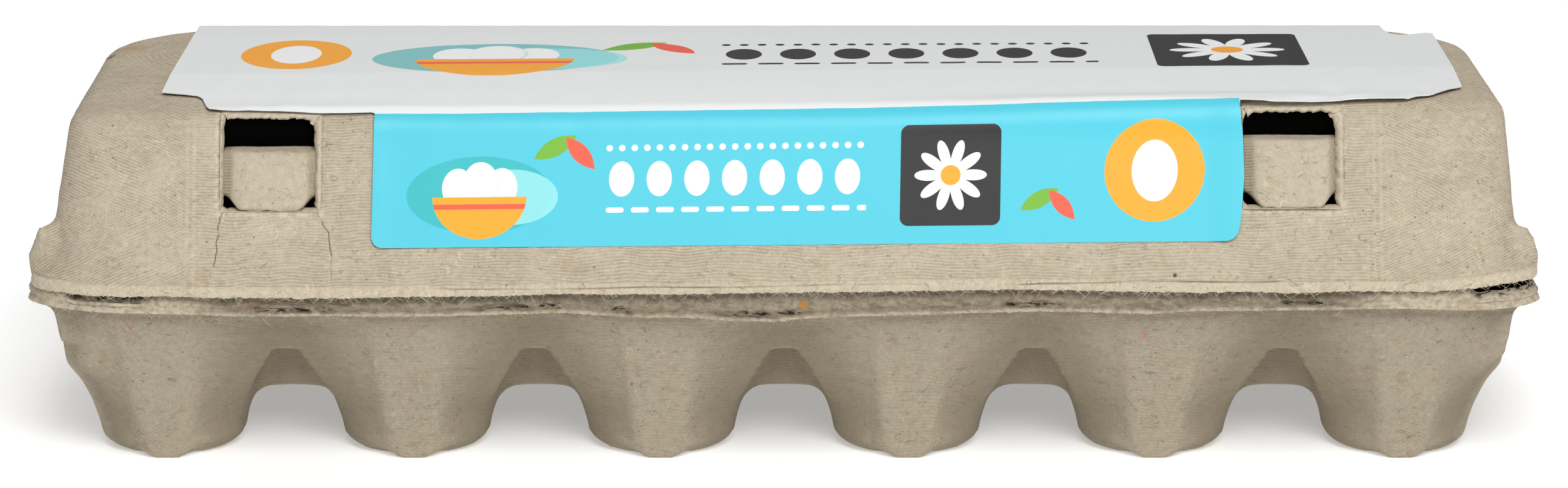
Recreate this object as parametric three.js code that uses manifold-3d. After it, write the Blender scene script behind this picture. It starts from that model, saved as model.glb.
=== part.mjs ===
// Shut carton for twelve eggs, moulded in paper pulp, with a die-cut paper label over the lid.
// Millimetres, +Z up, front towards -Y, origin on the floor under the middle of the carton.

import * as THREE from 'three';
import { mergeVertices } from 'three/addons/utils/BufferGeometryUtils.js';
import Module from 'manifold-3d';

const wasm = await Module();
wasm.setup();

// Driving dimensions: the grid of cups.
const CUP_PITCH = 48.5;
const CUP_COLUMNS = 6;
const ROW_OFFSET = 24.5;

// Tray: the walls where they meet the flange, and the flange itself.
const WALL_HALF_LENGTH = 141.5;
const WALL_HALF_DEPTH = 49.5;
const WALL_CORNER = 12;
const FLANGE_HALF_LENGTH = 145.4;
const FLANGE_HALF_DEPTH = 52.3;
const FLANGE_CORNER_X = 20;
const FLANGE_CORNER_Y = 10;
const FLANGE_UNDERSIDE = 33.8;
const FLANGE_TOP = 37.1;
const FLANGE_ROUND = 0.9;

// Cup: an oval foot, a steep ankle, and a flare up to the walls, the saddles and the posts.
const FOOT_HALF_WIDTH = 14.4;
const END_FOOT_HALF_WIDTH = 13.9;
const FOOT_HALF_DEPTH = 12.3;
const FOOT_SQUARENESS = 2.3;
const SOLE_INSET = 2.5;
const SOLE_EDGE_HEIGHT = 2.1;
const ANKLE_FLARES = [[5, 0.5], [9.3, 1.9]];
const SADDLE_HEIGHT = 10.9;
const POCKET_HEIGHT = 28;
const POST_HEIGHT = 31;
const ARCH_HEIGHT = 22.6;
const ARCH_INSET = 5.5;
const WALL_DIP = 2.2;

// Underside of a valley between two cups: where it starts and stops climbing from the saddle, counted
// back from the arch or out from the saddle's middle, and the step from the pocket to the arch.
// WALL_DIP above is how far the tray's outer wall dips in there.
const POCKET_CLIMB_START = 15;
const POCKET_CLIMB_END = 5.5;
const POCKET_STEP = 3;
const POST_CLIMB_START = 5.5;
const POST_CLIMB_END = 14.5;

// Flat pilaster down the outer face of every cup, ending in a toe.
const PILASTER_HALF_WIDTH = 7.8;
const PILASTER_PROUD = 0.9;
const PILASTER_FLANK = 1.5;
const TOE_HALF_WIDTH = 2.6;
const TOE_REACH = 13.4;
const TOE_SPREAD = 1.9;

// Stacking lugs under the flange at the corners of the tray, tapering downwards: at each height, how
// far out the lug starts and ends along the carton and across it.
const LUG_ROOT = { z: 34.4, along: [133.6, 141.2], across: [38.2, 46.6] };
const LUG_END = { z: 26.4, along: [134.8, 139.9], across: [39.6, 45.4] };
const STEP_ROOT = { z: 28, along: [134.2, 140.5], across: [39.4, 45.2] };
const STEP_END = { z: 22.3, along: [135.2, 139.4], across: [40.2, 44.2] };

// Lid: lip, fold line, drafted walls, rounded shoulders and a crowned top.
const LID_UNDERSIDE = 37.5;
const LIP_HEIGHT = 2;
const LIP_HALF_LENGTH = 145.2;
const LIP_FRONT = 53.8;
const LIP_BACK = 52.2;
const LIP_FLARE = 0.6;
const LIP_CORNER = [20, 10];
const TOP_FRONT_CORNER = [9, 8];
const TOP_BACK_CORNER = [28, 22];
const FOLD_RISE = 1.1;
const FOLD_STEP = 1.4;
const END_FOLD_STEP = 3.3;
const LID_FRONT_TOP = 71.6;
const LID_BACK_TOP = 70.6;
const LID_SKEW = 1.3;
const LID_SHIFT = 0.6;
const SKEW_START = 5;
const SKEW_FRONT = -38;
const FRONT_SHOULDER = 5;
const BACK_SHOULDER = 14;
const END_SHOULDER = 4.5;
const FRONT_WALL_LEAN = THREE.MathUtils.degToRad(20.5);
const BACK_WALL_LEAN = THREE.MathUtils.degToRad(28);
const END_WALL_LEAN = THREE.MathUtils.degToRad(7);
const CROWN = 0.8;
const CROWN_RUN = 40;
const LID_CORNER_STEPS = 7;

// Ears on the lid's end walls, one at each corner, swelling quickly and dying away inwards. The
// section has each point's distance in from the reach and its height above the lid's underside.
const EAR_REACH = 145.9;
const EAR_SECTION = [[0.5, 0], [0, 3], [0.4, 5.8], [1.4, 8.6], [2.2, 10.9], [4.4, 11.7]];
const EAR_SWELLS = [[44.8, 0.4], [42.8, 1], [37.5, 0.72], [29.5, 0.1]];
const EAR_ROOT = 2;
const EAR_LEAST_RISE = 0.55;

// Latch windows in the lid's front wall, and the knobs of the locking flap that fill them. The right
// one reaches higher, because the wall is pulled up there, and so does its knob.
const LATCHES = [
  { centre: -98.4, low: 53.2, high: 70.4, knobTop: 63.9 },
  { centre: 97.2, low: 53.8, high: 71.8, knobTop: 66.1 },
];
const WINDOW_WIDTH = 18.9;
const WINDOW_DEPTH = 9.6;
const WINDOW_WALL = 2.4;
const WINDOW_UNDERCUT = 1.5;
const KNOB_CLEARANCE = 0.35;
const KNOB_FACE_HALF_WIDTH = 6.9;
const KNOB_FACE_ROUND = 1.2;
const KNOB_SUNK = 3;
const KNOB_PROUD = 0.4;
const KNOB_TOP_RELIEF = 0.72;

// Label: one sheet, bent over the front shoulder, with a wide top and a narrower tab.
const LABEL_GAP = 0.3;
const LABEL_THICKNESS = 0.35;
const LABEL_BACK = 33;
const TAB_LEFT = -79;
const TAB_RIGHT = 86.4;
const TAB_BOTTOM = 46.9;
const TAB_CORNER = 2.2;

// The label is glued on slightly turned: its right end lies further up the lid.
const LABEL_TURN = 0.0068;

// Die-cut ends of the label's top, from the front to the back: straight steps at the right with one
// curve at the back corner, and two curves at the left. A curve is [control point, end point].
const RIGHT_STEPS = [[86.4, -40.2], [95, -38.6], [120, -35.3], [126, -30.1], [131.8, -24.6]];
const RIGHT_EDGE = [[131.2, 18.8], [124.5, 16]];
const RIGHT_CURVE = [[122, 16.5], [121.7, 22]];
const RIGHT_BACK = 121.2;
const LEFT_BACK = -120.4;
const LEFT_END = [[-121.4, -26], [-113.1, -28.8]];
const LEFT_CURVES = [[[-109.6, -29.8], [-109, -34]], [[-108.6, -38.4], [-107.4, -39.4]]];
const LEFT_CREASE = -40.4;

// How far the tools that cut the label out of its bent sheet reach.
const TOP_CUT = [65, 80];
const TAB_CUT = [-60, -36];
const CUT_OVERLAP = 10;

// Hinge: the bead of pulp that joins the lid to the tray along the back.
const HINGE_HALF_LENGTH = 122;
const HINGE_REACH = 53.8;
const HINGE_LOW = 34.4;
const HINGE_HIGH = 40.4;
const HINGE_GAP = 0.45;
const HINGE_BEAD = [[0.5, 0.4], [0.1, 1.6]];

const PULP_ROUGHNESS = 0.95;
const PAPER_ROUGHNESS = 0.45;
const PULP_DARK = new THREE.MeshStandardMaterial({ color: 0xa89c88, roughness: PULP_ROUGHNESS });
const PULP_LIGHT = new THREE.MeshStandardMaterial({ color: 0xc3b8a2, roughness: PULP_ROUGHNESS });
const PULP_KNOB = new THREE.MeshStandardMaterial({ color: 0xc9bfa9, roughness: PULP_ROUGHNESS });
const PULP_HINGE = new THREE.MeshStandardMaterial({ color: 0xb8ac96, roughness: PULP_ROUGHNESS });
const PAPER = new THREE.MeshStandardMaterial({ color: 0xdfe2e4, roughness: PAPER_ROUGHNESS });

const lerp = THREE.MathUtils.lerp;
const clamp = THREE.MathUtils.clamp;

function ramp(value, from, to) {
  const t = clamp((value - from) / (to - from), 0, 1);
  return t * t * (3 - 2 * t);
}

// Turn a list of triangles, each three [x, y, z] corners, into a closed solid.
function solidFromTriangles(triangles) {
  const geometry = new THREE.BufferGeometry();
  geometry.setAttribute('position', new THREE.Float32BufferAttribute(triangles.flat(2), 3));
  return solidFromGeometry(geometry);
}

function solidFromGeometry(geometry) {
  const bare = geometry.clone();
  bare.deleteAttribute('normal');
  bare.deleteAttribute('uv');
  const merged = mergeVertices(bare, 1e-3);
  const vertProperties = new Float32Array(merged.attributes.position.array);
  const index = merged.index.array;
  const kept = [];
  for (let i = 0; i < index.length; i += 3) {
    const [a, b, c] = [index[i], index[i + 1], index[i + 2]];
    if (a !== b && b !== c && c !== a) kept.push(a, b, c);
  }
  const mesh = new wasm.Mesh({ numProp: 3, vertProperties, triVerts: new Uint32Array(kept) });
  return new wasm.Manifold(mesh);
}

function geometryFromSolid(solid) {
  const mesh = solid.getMesh();
  const geometry = new THREE.BufferGeometry();
  geometry.setAttribute('position', new THREE.BufferAttribute(new Float32Array(mesh.vertProperties), 3));
  geometry.setIndex(new THREE.BufferAttribute(new Uint32Array(mesh.triVerts), 1));
  return geometry;
}

// Quads between two rings of equal length, as triangles; flip turns their faces round.
function band(lower, upper, flip) {
  const triangles = [];
  lower.forEach((a, i) => {
    const next = (i + 1) % lower.length;
    const [b, c, d] = [lower[next], upper[next], upper[i]];
    triangles.push(flip ? [a, c, b] : [a, b, c], flip ? [a, d, c] : [a, c, d]);
  });
  return triangles;
}

function fan(ring, centre, flip) {
  return ring.map((a, i) => {
    const b = ring[(i + 1) % ring.length];
    return flip ? [centre, b, a] : [centre, a, b];
  });
}

function straight(from, to) {
  return { depth: to - from, bevelEnabled: false, curveSegments: 5 };
}

function extrudeAlongY(shape, from, to) {
  const geometry = new THREE.ExtrudeGeometry(shape, straight(from, to));
  geometry.rotateX(Math.PI / 2);
  geometry.translate(0, to, 0);
  return solidFromGeometry(geometry);
}

function extrudeAlongZ(shape, from, to) {
  const geometry = new THREE.ExtrudeGeometry(shape, straight(from, to));
  geometry.translate(0, 0, from);
  return solidFromGeometry(geometry);
}

function extrudeAlongX(points, from, to) {
  const shape = new THREE.Shape(points.map(([y, z]) => new THREE.Vector2(y, z)));
  const geometry = new THREE.ExtrudeGeometry(shape, straight(from, to));
  const axes = new THREE.Matrix4().set(0, 0, 1, from, 1, 0, 0, 0, 0, 1, 0, 0, 0, 0, 0, 1);
  geometry.applyMatrix4(axes);
  return solidFromGeometry(geometry);
}

function block(xFrom, xTo, yFrom, yTo, zFrom, zTo) {
  const geometry = new THREE.BoxGeometry(xTo - xFrom, yTo - yFrom, zTo - zFrom);
  geometry.translate((xFrom + xTo) / 2, (yFrom + yTo) / 2, (zFrom + zTo) / 2);
  return solidFromGeometry(geometry);
}

// Height of the underside along a valley between two cups: away is the distance from the saddle's
// middle towards the outer wall, and wall is the distance of that wall from it.
function valleyTowardsWall(away, wall) {
  const arch = wall - ARCH_INSET;
  const step = arch - POCKET_STEP;
  if (away >= arch) return lerp(ARCH_HEIGHT, RIM_HEIGHT, (away - arch) / ARCH_INSET);
  if (away >= step) return lerp(POCKET_HEIGHT, ARCH_HEIGHT, (away - step) / POCKET_STEP);
  const climb = ramp(away, arch - POCKET_CLIMB_START, arch - POCKET_CLIMB_END);
  return lerp(SADDLE_HEIGHT, POCKET_HEIGHT, climb);
}

function valleyTowardsPost(away) {
  return lerp(SADDLE_HEIGHT, POST_HEIGHT, ramp(away, POST_CLIMB_START, POST_CLIMB_END));
}

const HALF_PITCH = CUP_PITCH / 2;
const RIM_OVERLAP = 0.8;
const RIM_HEIGHT = FLANGE_UNDERSIDE + RIM_OVERLAP;
const CUP_TO_WALL = WALL_HALF_DEPTH - ROW_OFFSET;
const END_TO_WALL = WALL_HALF_LENGTH - HALF_PITCH * (CUP_COLUMNS - 1);

// Compass of one cup in degrees: 90 points to the outer wall, -90 to the middle of the tray.
// Each row pairs a direction at the foot with the direction where that facet ends at the top.
const OUTER_CORNER = THREE.MathUtils.radToDeg(Math.atan2(CUP_TO_WALL, HALF_PITCH));
const INNER_CORNER = THREE.MathUtils.radToDeg(Math.atan2(ROW_OFFSET, HALF_PITCH));
const FACETS_OUTWARD = [[0, 0], [24, 38.8], [45, OUTER_CORNER], [63, 66.5]];
const FACETS_INWARD = [[0, 0], [26, 33], [45, INNER_CORNER], [90, 90]];
const OUTWARD_STEPS = [8, 12, 16, 19, 22, 24, 34, 45, 54, 63];
const INWARD_STEPS = [8, 16, 26, 36, 45, 50, 56, 62, 70, 79, 90];

// Directions between which each ridge swells and dies away.
const SIDE_RIDGE = [9, 21, 27, 45];
const END_RIDGE = [46, 55, 60, 72];
const FLANK_INSET = 0.6;

function swell(value, [start, full, fading, gone]) {
  return ramp(value, start, full) * ramp(value, gone, fading);
}

function facetTop(facets, degrees) {
  const row = facets.findIndex(([foot]) => foot >= degrees);
  if (row === 0) return facets[0][1];
  const [[footA, topA], [footB, topB]] = [facets[row - 1], facets[row]];
  return lerp(topA, topB, (degrees - footA) / (footB - footA));
}

function footPoint(degrees) {
  const angle = THREE.MathUtils.degToRad(degrees);
  const [c, s] = [Math.cos(angle), Math.sin(angle)];
  const power = FOOT_SQUARENESS;
  const size = (Math.abs(c) / FOOT_HALF_WIDTH) ** power + (Math.abs(s) / FOOT_HALF_DEPTH) ** power;
  const radius = size ** (-1 / power);
  return [c * radius, s * radius];
}

function cellEdgePoint(degrees) {
  const angle = THREE.MathUtils.degToRad(degrees);
  const [c, s] = [Math.cos(angle), Math.sin(angle)];
  const reachY = s >= 0 ? CUP_TO_WALL : ROW_OFFSET;
  const scale = Math.min(HALF_PITCH / Math.max(Math.abs(c), 1e-9), reachY / Math.max(Math.abs(s), 1e-9));
  return [c * scale, s * scale];
}

// One quarter of a cup's facet lines, from its side (u > 0) round to its outer or its inner middle.
// Each facet line has its sole point, its foot point and its top point.
function quarter(outward) {
  const steps = outward ? OUTWARD_STEPS : INWARD_STEPS;
  const lines = steps.map((degrees) => {
    const ridge = outward ? swell(degrees, SIDE_RIDGE) : 0;
    const endRidge = outward ? 0 : swell(degrees, END_RIDGE);
    const signed = outward ? degrees : -degrees;
    const foot = footPoint(signed);
    const top = facetTop(outward ? FACETS_OUTWARD : FACETS_INWARD, degrees);
    const shrink = 1 - SOLE_INSET / Math.hypot(...foot);
    const topPoint = cellEdgePoint(outward ? top : -top);
    return { sole: foot.map((v) => v * shrink), foot, top: topPoint, ridge, endRidge };
  });
  if (!outward) return lines;
  const flankFoot = TOE_HALF_WIDTH + TOE_SPREAD + PILASTER_FLANK;
  lines.push({
    sole: [TOE_HALF_WIDTH + PILASTER_FLANK, FOOT_HALF_DEPTH - SOLE_INSET],
    foot: [flankFoot, FOOT_HALF_DEPTH - FLANK_INSET],
    top: [PILASTER_HALF_WIDTH + PILASTER_FLANK, CUP_TO_WALL],
  });
  lines.push({
    sole: [TOE_HALF_WIDTH, TOE_REACH],
    foot: [TOE_HALF_WIDTH + TOE_SPREAD, TOE_REACH],
    top: [PILASTER_HALF_WIDTH, CUP_TO_WALL + PILASTER_PROUD],
  });
  lines.push({ sole: [0, TOE_REACH], foot: [0, TOE_REACH], top: [0, CUP_TO_WALL + PILASTER_PROUD] });
  return lines;
}

function mirrored(lines) {
  const flip = ([u, v]) => [-u, v];
  return lines.map(({ sole, foot, top, ...ridges }) => {
    return { sole: flip(sole), foot: flip(foot), top: flip(top), ...ridges };
  });
}

// All the facet lines of a cup, anticlockwise seen with +u right and +v up.
function facetLines() {
  const sole = [FOOT_HALF_WIDTH - SOLE_INSET, 0];
  const side = { sole, foot: [FOOT_HALF_WIDTH, 0], top: [HALF_PITCH, 0] };
  const outer = quarter(true);
  const inner = quarter(false);
  return [
    side,
    ...outer,
    ...mirrored(outer.slice(0, -1)).reverse(),
    ...mirrored([side]),
    ...mirrored(inner),
    ...inner.slice(0, -1).reverse(),
  ];
}

// Reach of the outer wall from a cup's middle: it dips in midway between two cups.
function wallReach(u) {
  return CUP_TO_WALL - WALL_DIP * ramp(Math.abs(u), PILASTER_HALF_WIDTH + PILASTER_FLANK, HALF_PITCH);
}

// Top point of a facet line, with its height, in a middle cup or in an end cup.
function facetTopPoint([u, v], endCup) {
  if (!endCup || u <= 0) {
    const onSide = Math.abs(u) > HALF_PITCH - 1e-6;
    if (v < 0) return [u, v, valleyTowardsPost(onSide ? -v : Math.abs(u))];
    const pulledIn = v * wallReach(u) / CUP_TO_WALL;
    return [u, pulledIn, onSide ? valleyTowardsWall(pulledIn, wallReach(u)) : RIM_HEIGHT];
  }
  const keep = PILASTER_HALF_WIDTH + PILASTER_FLANK;
  const squeeze = (END_TO_WALL - keep) / (HALF_PITCH - keep);
  const pulled = u <= keep ? u : keep + (u - keep) * squeeze;
  if (v <= -ROW_OFFSET + 1e-6) return [pulled, v, valleyTowardsWall(pulled, END_TO_WALL)];
  const overU = pulled - (END_TO_WALL - WALL_CORNER);
  const overV = v - (CUP_TO_WALL - WALL_CORNER);
  const over = Math.hypot(overU, overV);
  if (overU > 0 && overV > 0 && over > WALL_CORNER) {
    const back = WALL_CORNER / over;
    return [END_TO_WALL - WALL_CORNER + overU * back, CUP_TO_WALL - WALL_CORNER + overV * back, RIM_HEIGHT];
  }
  return [pulled, v, RIM_HEIGHT];
}

// How far out and how far up the three upper rings lie, from the ankle (0) to the top (1).
const FLARE_OUT = [0.33, 0.67, 1];
const SADDLE_UP = [0.85, 0.97, 1];
const END_WALL_OUT = [0.36, 0.76, 1];
const END_WALL_UP = [0.24, 0.42, 1];
const END_WALL_SWELL = [9, -12];

// The ridge where a cup's outer face turns into the pocket behind an arch: it climbs steeply beside
// the cup and ends in the arch's flat top.
const RIDGE_ACROSS = [0.34, 0.77, 1];
const RIDGE_FORWARD = [0.6, 0.97, 1];
const RIDGE_UP = [0.48, 0.98, 1];

function cupRings(endCup) {
  const endSqueeze = ([u, v]) => [endCup && u > 0 ? u * END_FOOT_HALF_WIDTH / FOOT_HALF_WIDTH : u, v];
  const lines = facetLines().map((line) => {
    return { ...line, sole: endSqueeze(line.sole), foot: endSqueeze(line.foot) };
  });
  const tops = lines.map(({ top }) => facetTopPoint(top, endCup));
  const outward = ([u, v], by) => {
    const length = Math.hypot(u, v);
    return [u * (length + by) / length, v * (length + by) / length];
  };
  const rings = [];
  rings.push(lines.map(({ sole }) => [...sole, 0]));
  rings.push(lines.map(({ foot }) => [...foot, SOLE_EDGE_HEIGHT]));
  ANKLE_FLARES.forEach(([height, flare]) => {
    rings.push(lines.map(({ foot }, i) => {
      const pilaster = foot[1] >= TOE_REACH - 1e-6;
      if (!pilaster) return [...outward(foot, flare), height];
      const t = (height - SOLE_EDGE_HEIGHT) / (RIM_HEIGHT - SOLE_EDGE_HEIGHT);
      return [lerp(foot[0], tops[i][0], t), lerp(foot[1], tops[i][1], t), height];
    }));
  });
  const ankle = rings[rings.length - 1];
  FLARE_OUT.forEach((out, level) => {
    rings.push(lines.map(({ foot, ridge = 0, endRidge = 0 }, i) => {
      const [u, v, height] = tops[i];
      const pilaster = foot[1] >= TOE_REACH - 1e-6;
      const atEnd = endCup && u > 0;
      const beside = atEnd ? 0 : ridge;
      const below = atEnd ? endRidge : 0;
      const rise = clamp((height - SADDLE_HEIGHT) / (RIM_HEIGHT - SADDLE_HEIGHT), 0, 1);
      const [fromU, toV] = END_WALL_SWELL;
      const towardsEnd = ramp(u, fromU, END_TO_WALL) * ramp(v, -ROW_OFFSET, toV);
      const endWall = atEnd && !pilaster ? towardsEnd * rise : 0;
      const a = lerp(out, END_WALL_OUT[level], endWall);
      const alongU = lerp(lerp(a, RIDGE_ACROSS[level], beside), RIDGE_FORWARD[level], below);
      const alongV = lerp(lerp(a, RIDGE_FORWARD[level], beside), RIDGE_ACROSS[level], below);
      const plainUp = lerp(lerp(SADDLE_UP[level], out, rise), END_WALL_UP[level], endWall);
      const up = lerp(plainUp, RIDGE_UP[level], Math.max(beside, below));
      return [lerp(ankle[i][0], u, alongU), lerp(ankle[i][1], v, alongV), lerp(ankle[i][2], height, up)];
    }));
  });
  return rings;
}

// The body of the tray: twelve cups joined along the edges of their cells, filled up to a flat top.
function trayBody() {
  const top = (FLANGE_UNDERSIDE + FLANGE_TOP) / 2;
  const triangles = [];
  for (let column = 0; column < CUP_COLUMNS; column += 1) {
    const centreX = (column - (CUP_COLUMNS - 1) / 2) * CUP_PITCH;
    const endCup = column === 0 || column === CUP_COLUMNS - 1;
    const sideX = column === 0 ? -1 : 1;
    const rings = cupRings(endCup);
    [-1, 1].forEach((sideY) => {
      const place = ([u, v, z]) => [centreX + sideX * u, sideY * (ROW_OFFSET + v), z];
      const flip = sideX * sideY > 0;
      const placed = rings.map((ring) => ring.map(place));
      const lid = placed[placed.length - 1].map(([x, y]) => [x, y, top]);
      triangles.push(...fan(placed[0], place([0, 0, 0]), flip));
      for (let i = 1; i < placed.length; i += 1) triangles.push(...band(placed[i], placed[i - 1], flip));
      triangles.push(...fan(lid, place([0, 0, top]), !flip));
      const edge = placed[placed.length - 1];
      edge.forEach((a, i) => {
        const next = (i + 1) % edge.length;
        const [b, c, d] = [edge[next], lid[next], lid[i]];
        const outer = Math.min(a[2], b[2]) > RIM_HEIGHT - 1e-6;
        if (outer) triangles.push(flip ? [a, b, c] : [a, c, b], flip ? [a, c, d] : [a, d, c]);
      });
    });
  }
  return solidFromTriangles(triangles);
}

function roundedPlan(halfLength, front, back, cornerX, cornerY) {
  const shape = new THREE.Shape();
  const quarterTurn = Math.PI / 2;
  const corners = [
    [halfLength - cornerX, -front + cornerY, -quarterTurn],
    [halfLength - cornerX, back - cornerY, 0],
    [-halfLength + cornerX, back - cornerY, quarterTurn],
    [-halfLength + cornerX, -front + cornerY, 2 * quarterTurn],
  ];
  corners.forEach(([x, y, start]) => {
    shape.absellipse(x, y, cornerX, cornerY, start, start + quarterTurn, false);
  });
  shape.closePath();
  return shape;
}

function flange() {
  const inner = [FLANGE_HALF_LENGTH - FLANGE_ROUND, FLANGE_HALF_DEPTH - FLANGE_ROUND];
  const plan = roundedPlan(inner[0], inner[1], inner[1], FLANGE_CORNER_X, FLANGE_CORNER_Y);
  const geometry = new THREE.ExtrudeGeometry(plan, {
    depth: FLANGE_TOP - FLANGE_UNDERSIDE - 2 * FLANGE_ROUND,
    bevelThickness: FLANGE_ROUND,
    bevelSize: FLANGE_ROUND,
    bevelSegments: 3,
    curveSegments: 8,
  });
  geometry.translate(0, 0, FLANGE_UNDERSIDE + FLANGE_ROUND);
  return solidFromGeometry(geometry);
}

// A lug between two heights, tapering from its root to its end.
function lug(root, end, sideX, sideY) {
  const ring = ({ z, along: [a, b], across: [c, d] }) => {
    return [[a, c], [b, c], [b, d], [a, d]].map(([x, y]) => [sideX * x, sideY * y, z]);
  };
  const flip = sideX * sideY < 0;
  const [low, high] = [ring(end), ring(root)];
  const triangles = [...band(low, high, flip)];
  triangles.push([low[0], low[2], low[1]], [low[0], low[3], low[2]]);
  triangles.push([high[0], high[1], high[2]], [high[0], high[2], high[3]]);
  const turned = ([p, q, r]) => [p, r, q];
  return solidFromTriangles(triangles.map((t, i) => (flip && i >= 2 * low.length ? turned(t) : t)));
}

// Lugs at the four corners; the two at the right end have a second, narrower step below.
function cornerLugs() {
  const lugs = [];
  [-1, 1].forEach((sideX) => {
    [-1, 1].forEach((sideY) => {
      lugs.push(lug(LUG_ROOT, LUG_END, sideX, sideY));
      if (sideX > 0) lugs.push(lug(STEP_ROOT, STEP_END, sideX, sideY));
    });
  });
  return lugs;
}

function makeTray() {
  return [flange(), ...cornerLugs()].reduce((solid, piece) => solid.add(piece), trayBody());
}

// Levels of the lid from its lip to the middle of its top, each with its front, back and end reach.
function lidLevels() {
  const lip = { end: LIP_HALF_LENGTH, front: LIP_FRONT, back: LIP_BACK };
  const levels = [0, 1].map((t) => ({
    end: lip.end - t * LIP_FLARE,
    front: lip.front - t * LIP_FLARE,
    back: lip.back - t * LIP_FLARE,
    zFront: LID_UNDERSIDE + t * LIP_HEIGHT,
    zBack: LID_UNDERSIDE + t * LIP_HEIGHT,
    soft: 0,
  }));
  const foot = LID_UNDERSIDE + LIP_HEIGHT + FOLD_RISE;
  const start = { end: lip.end - END_FOLD_STEP, front: lip.front - FOLD_STEP, back: lip.back - FOLD_STEP };
  const shoulderStart = (top, radius, lean) => top - radius + radius * Math.sin(lean);
  const frontRise = shoulderStart(LID_FRONT_TOP, FRONT_SHOULDER, FRONT_WALL_LEAN) - foot;
  const backRise = shoulderStart(LID_BACK_TOP, BACK_SHOULDER, BACK_WALL_LEAN) - foot;
  const endRise = shoulderStart(LID_FRONT_TOP, END_SHOULDER, END_WALL_LEAN) - foot;
  const wall = (t) => ({
    end: start.end - t * endRise * Math.tan(END_WALL_LEAN),
    front: start.front - t * frontRise * Math.tan(FRONT_WALL_LEAN),
    back: start.back - t * backRise * Math.tan(BACK_WALL_LEAN),
    zFront: foot + t * frontRise,
    zBack: foot + t * backRise,
    soft: t,
  });
  [0, 0.33, 0.67, 1].forEach((t) => levels.push(wall(t)));
  const shoulder = wall(1);
  const inward = (radius, lean, t) => {
    const angle = lerp(lean, Math.PI / 2, t);
    return radius * (Math.cos(lean) - Math.cos(angle));
  };
  const upward = (radius, lean, t) => {
    const angle = lerp(lean, Math.PI / 2, t);
    return radius * (Math.sin(angle) - Math.sin(lean));
  };
  [0.2, 0.4, 0.6, 0.8, 1].forEach((t) => levels.push({
    end: shoulder.end - inward(END_SHOULDER, END_WALL_LEAN, t),
    front: shoulder.front - inward(FRONT_SHOULDER, FRONT_WALL_LEAN, t),
    back: shoulder.back - inward(BACK_SHOULDER, BACK_WALL_LEAN, t),
    zFront: shoulder.zFront + upward(FRONT_SHOULDER, FRONT_WALL_LEAN, t),
    zBack: shoulder.zBack + upward(BACK_SHOULDER, BACK_WALL_LEAN, t),
    soft: 1,
  }));
  const rim = levels[levels.length - 1];
  [0.25, 0.6].forEach((t) => levels.push({
    end: rim.end - CROWN_RUN * t,
    front: lerp(rim.front, 0, t),
    back: lerp(rim.back, 0, t),
    zFront: rim.zFront + CROWN * (1 - (1 - t) ** 2),
    zBack: rim.zBack + CROWN * (1 - (1 - t) ** 2),
    soft: 1,
  }));
  return levels;
}

const LID_LEVELS = lidLevels();

// Pressed by the stack in the shop, the lid's front edge rises from left to right.
function skew([x, y, z]) {
  const base = LID_UNDERSIDE + SKEW_START;
  const share = clamp((z - base) / (LID_FRONT_TOP - base), 0, 1);
  const frontShare = clamp((LABEL_BACK - y) / (LABEL_BACK - SKEW_FRONT), 0, 1);
  return [x + share * LID_SHIFT, y, z + share * frontShare * LID_SKEW * x / WALL_HALF_LENGTH];
}

// One ring of the lid: straight sides and four oval corners, the back ones wider at the top.
function lidRing({ end, front, back, zFront, zBack, soft }) {
  const height = (y) => lerp(zFront, zBack, (y + front) / (front + back));
  const longest = (front + back) * 0.45;
  const corner = (signX, signY) => {
    const upper = signY > 0 ? TOP_BACK_CORNER : TOP_FRONT_CORNER;
    const wide = lerp(LIP_CORNER[0], upper[0], soft);
    const deep = Math.min(lerp(LIP_CORNER[1], upper[1], soft), longest);
    const reachY = signY > 0 ? back : front;
    return Array.from({ length: LID_CORNER_STEPS + 1 }, (_, i) => {
      const angle = (i / LID_CORNER_STEPS) * Math.PI / 2;
      const x = end - wide + wide * Math.cos(angle);
      return [signX * x, signY * (reachY - deep + deep * Math.sin(angle))];
    });
  };
  const plan = [
    ...corner(1, -1).reverse(),
    ...corner(1, 1),
    ...corner(-1, 1).reverse(),
    ...corner(-1, -1),
  ];
  return plan.map(([x, y]) => skew([x, y, height(y)]));
}

function lidShell() {
  const rings = LID_LEVELS.map(lidRing);
  const triangles = fan(rings[0], [0, 0, LID_UNDERSIDE], true);
  for (let i = 1; i < rings.length; i += 1) triangles.push(...band(rings[i - 1], rings[i], false));
  const last = LID_LEVELS[LID_LEVELS.length - 1];
  triangles.push(...fan(rings[rings.length - 1], [0, 0, (last.zFront + last.zBack) / 2], false));
  return solidFromTriangles(triangles);
}

// An ear: one section of the swollen wall, scaled up and down along the corner of the end wall.
function lidEar(sideX, sideY) {
  const inside = WALL_HALF_LENGTH - EAR_ROOT;
  const rise = EAR_SECTION[EAR_SECTION.length - 1][1];
  const outside = EAR_SECTION.map(([inset, up]) => [EAR_REACH - inset, up]);
  const section = [[inside, 0], ...outside, [inside, rise]];
  const root = LIP_HALF_LENGTH - END_FOLD_STEP - FOLD_STEP;
  const flip = sideX * sideY < 0;
  const rings = EAR_SWELLS.map(([y, size]) => section.map(([x, up]) => {
    const reach = x > root ? root + (x - root) * size : x;
    return [sideX * reach, sideY * y, LID_UNDERSIDE + up * lerp(EAR_LEAST_RISE, 1, size)];
  }));
  const [first, last] = [rings[0], rings[rings.length - 1]];
  const triangles = [...fan(first, first[0], !flip), ...fan(last, last[0], flip)];
  for (let i = 1; i < rings.length; i += 1) triangles.push(...band(rings[i - 1], rings[i], flip));
  return solidFromTriangles(triangles.filter(([p, q, r]) => p !== q && q !== r && r !== p));
}

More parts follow.
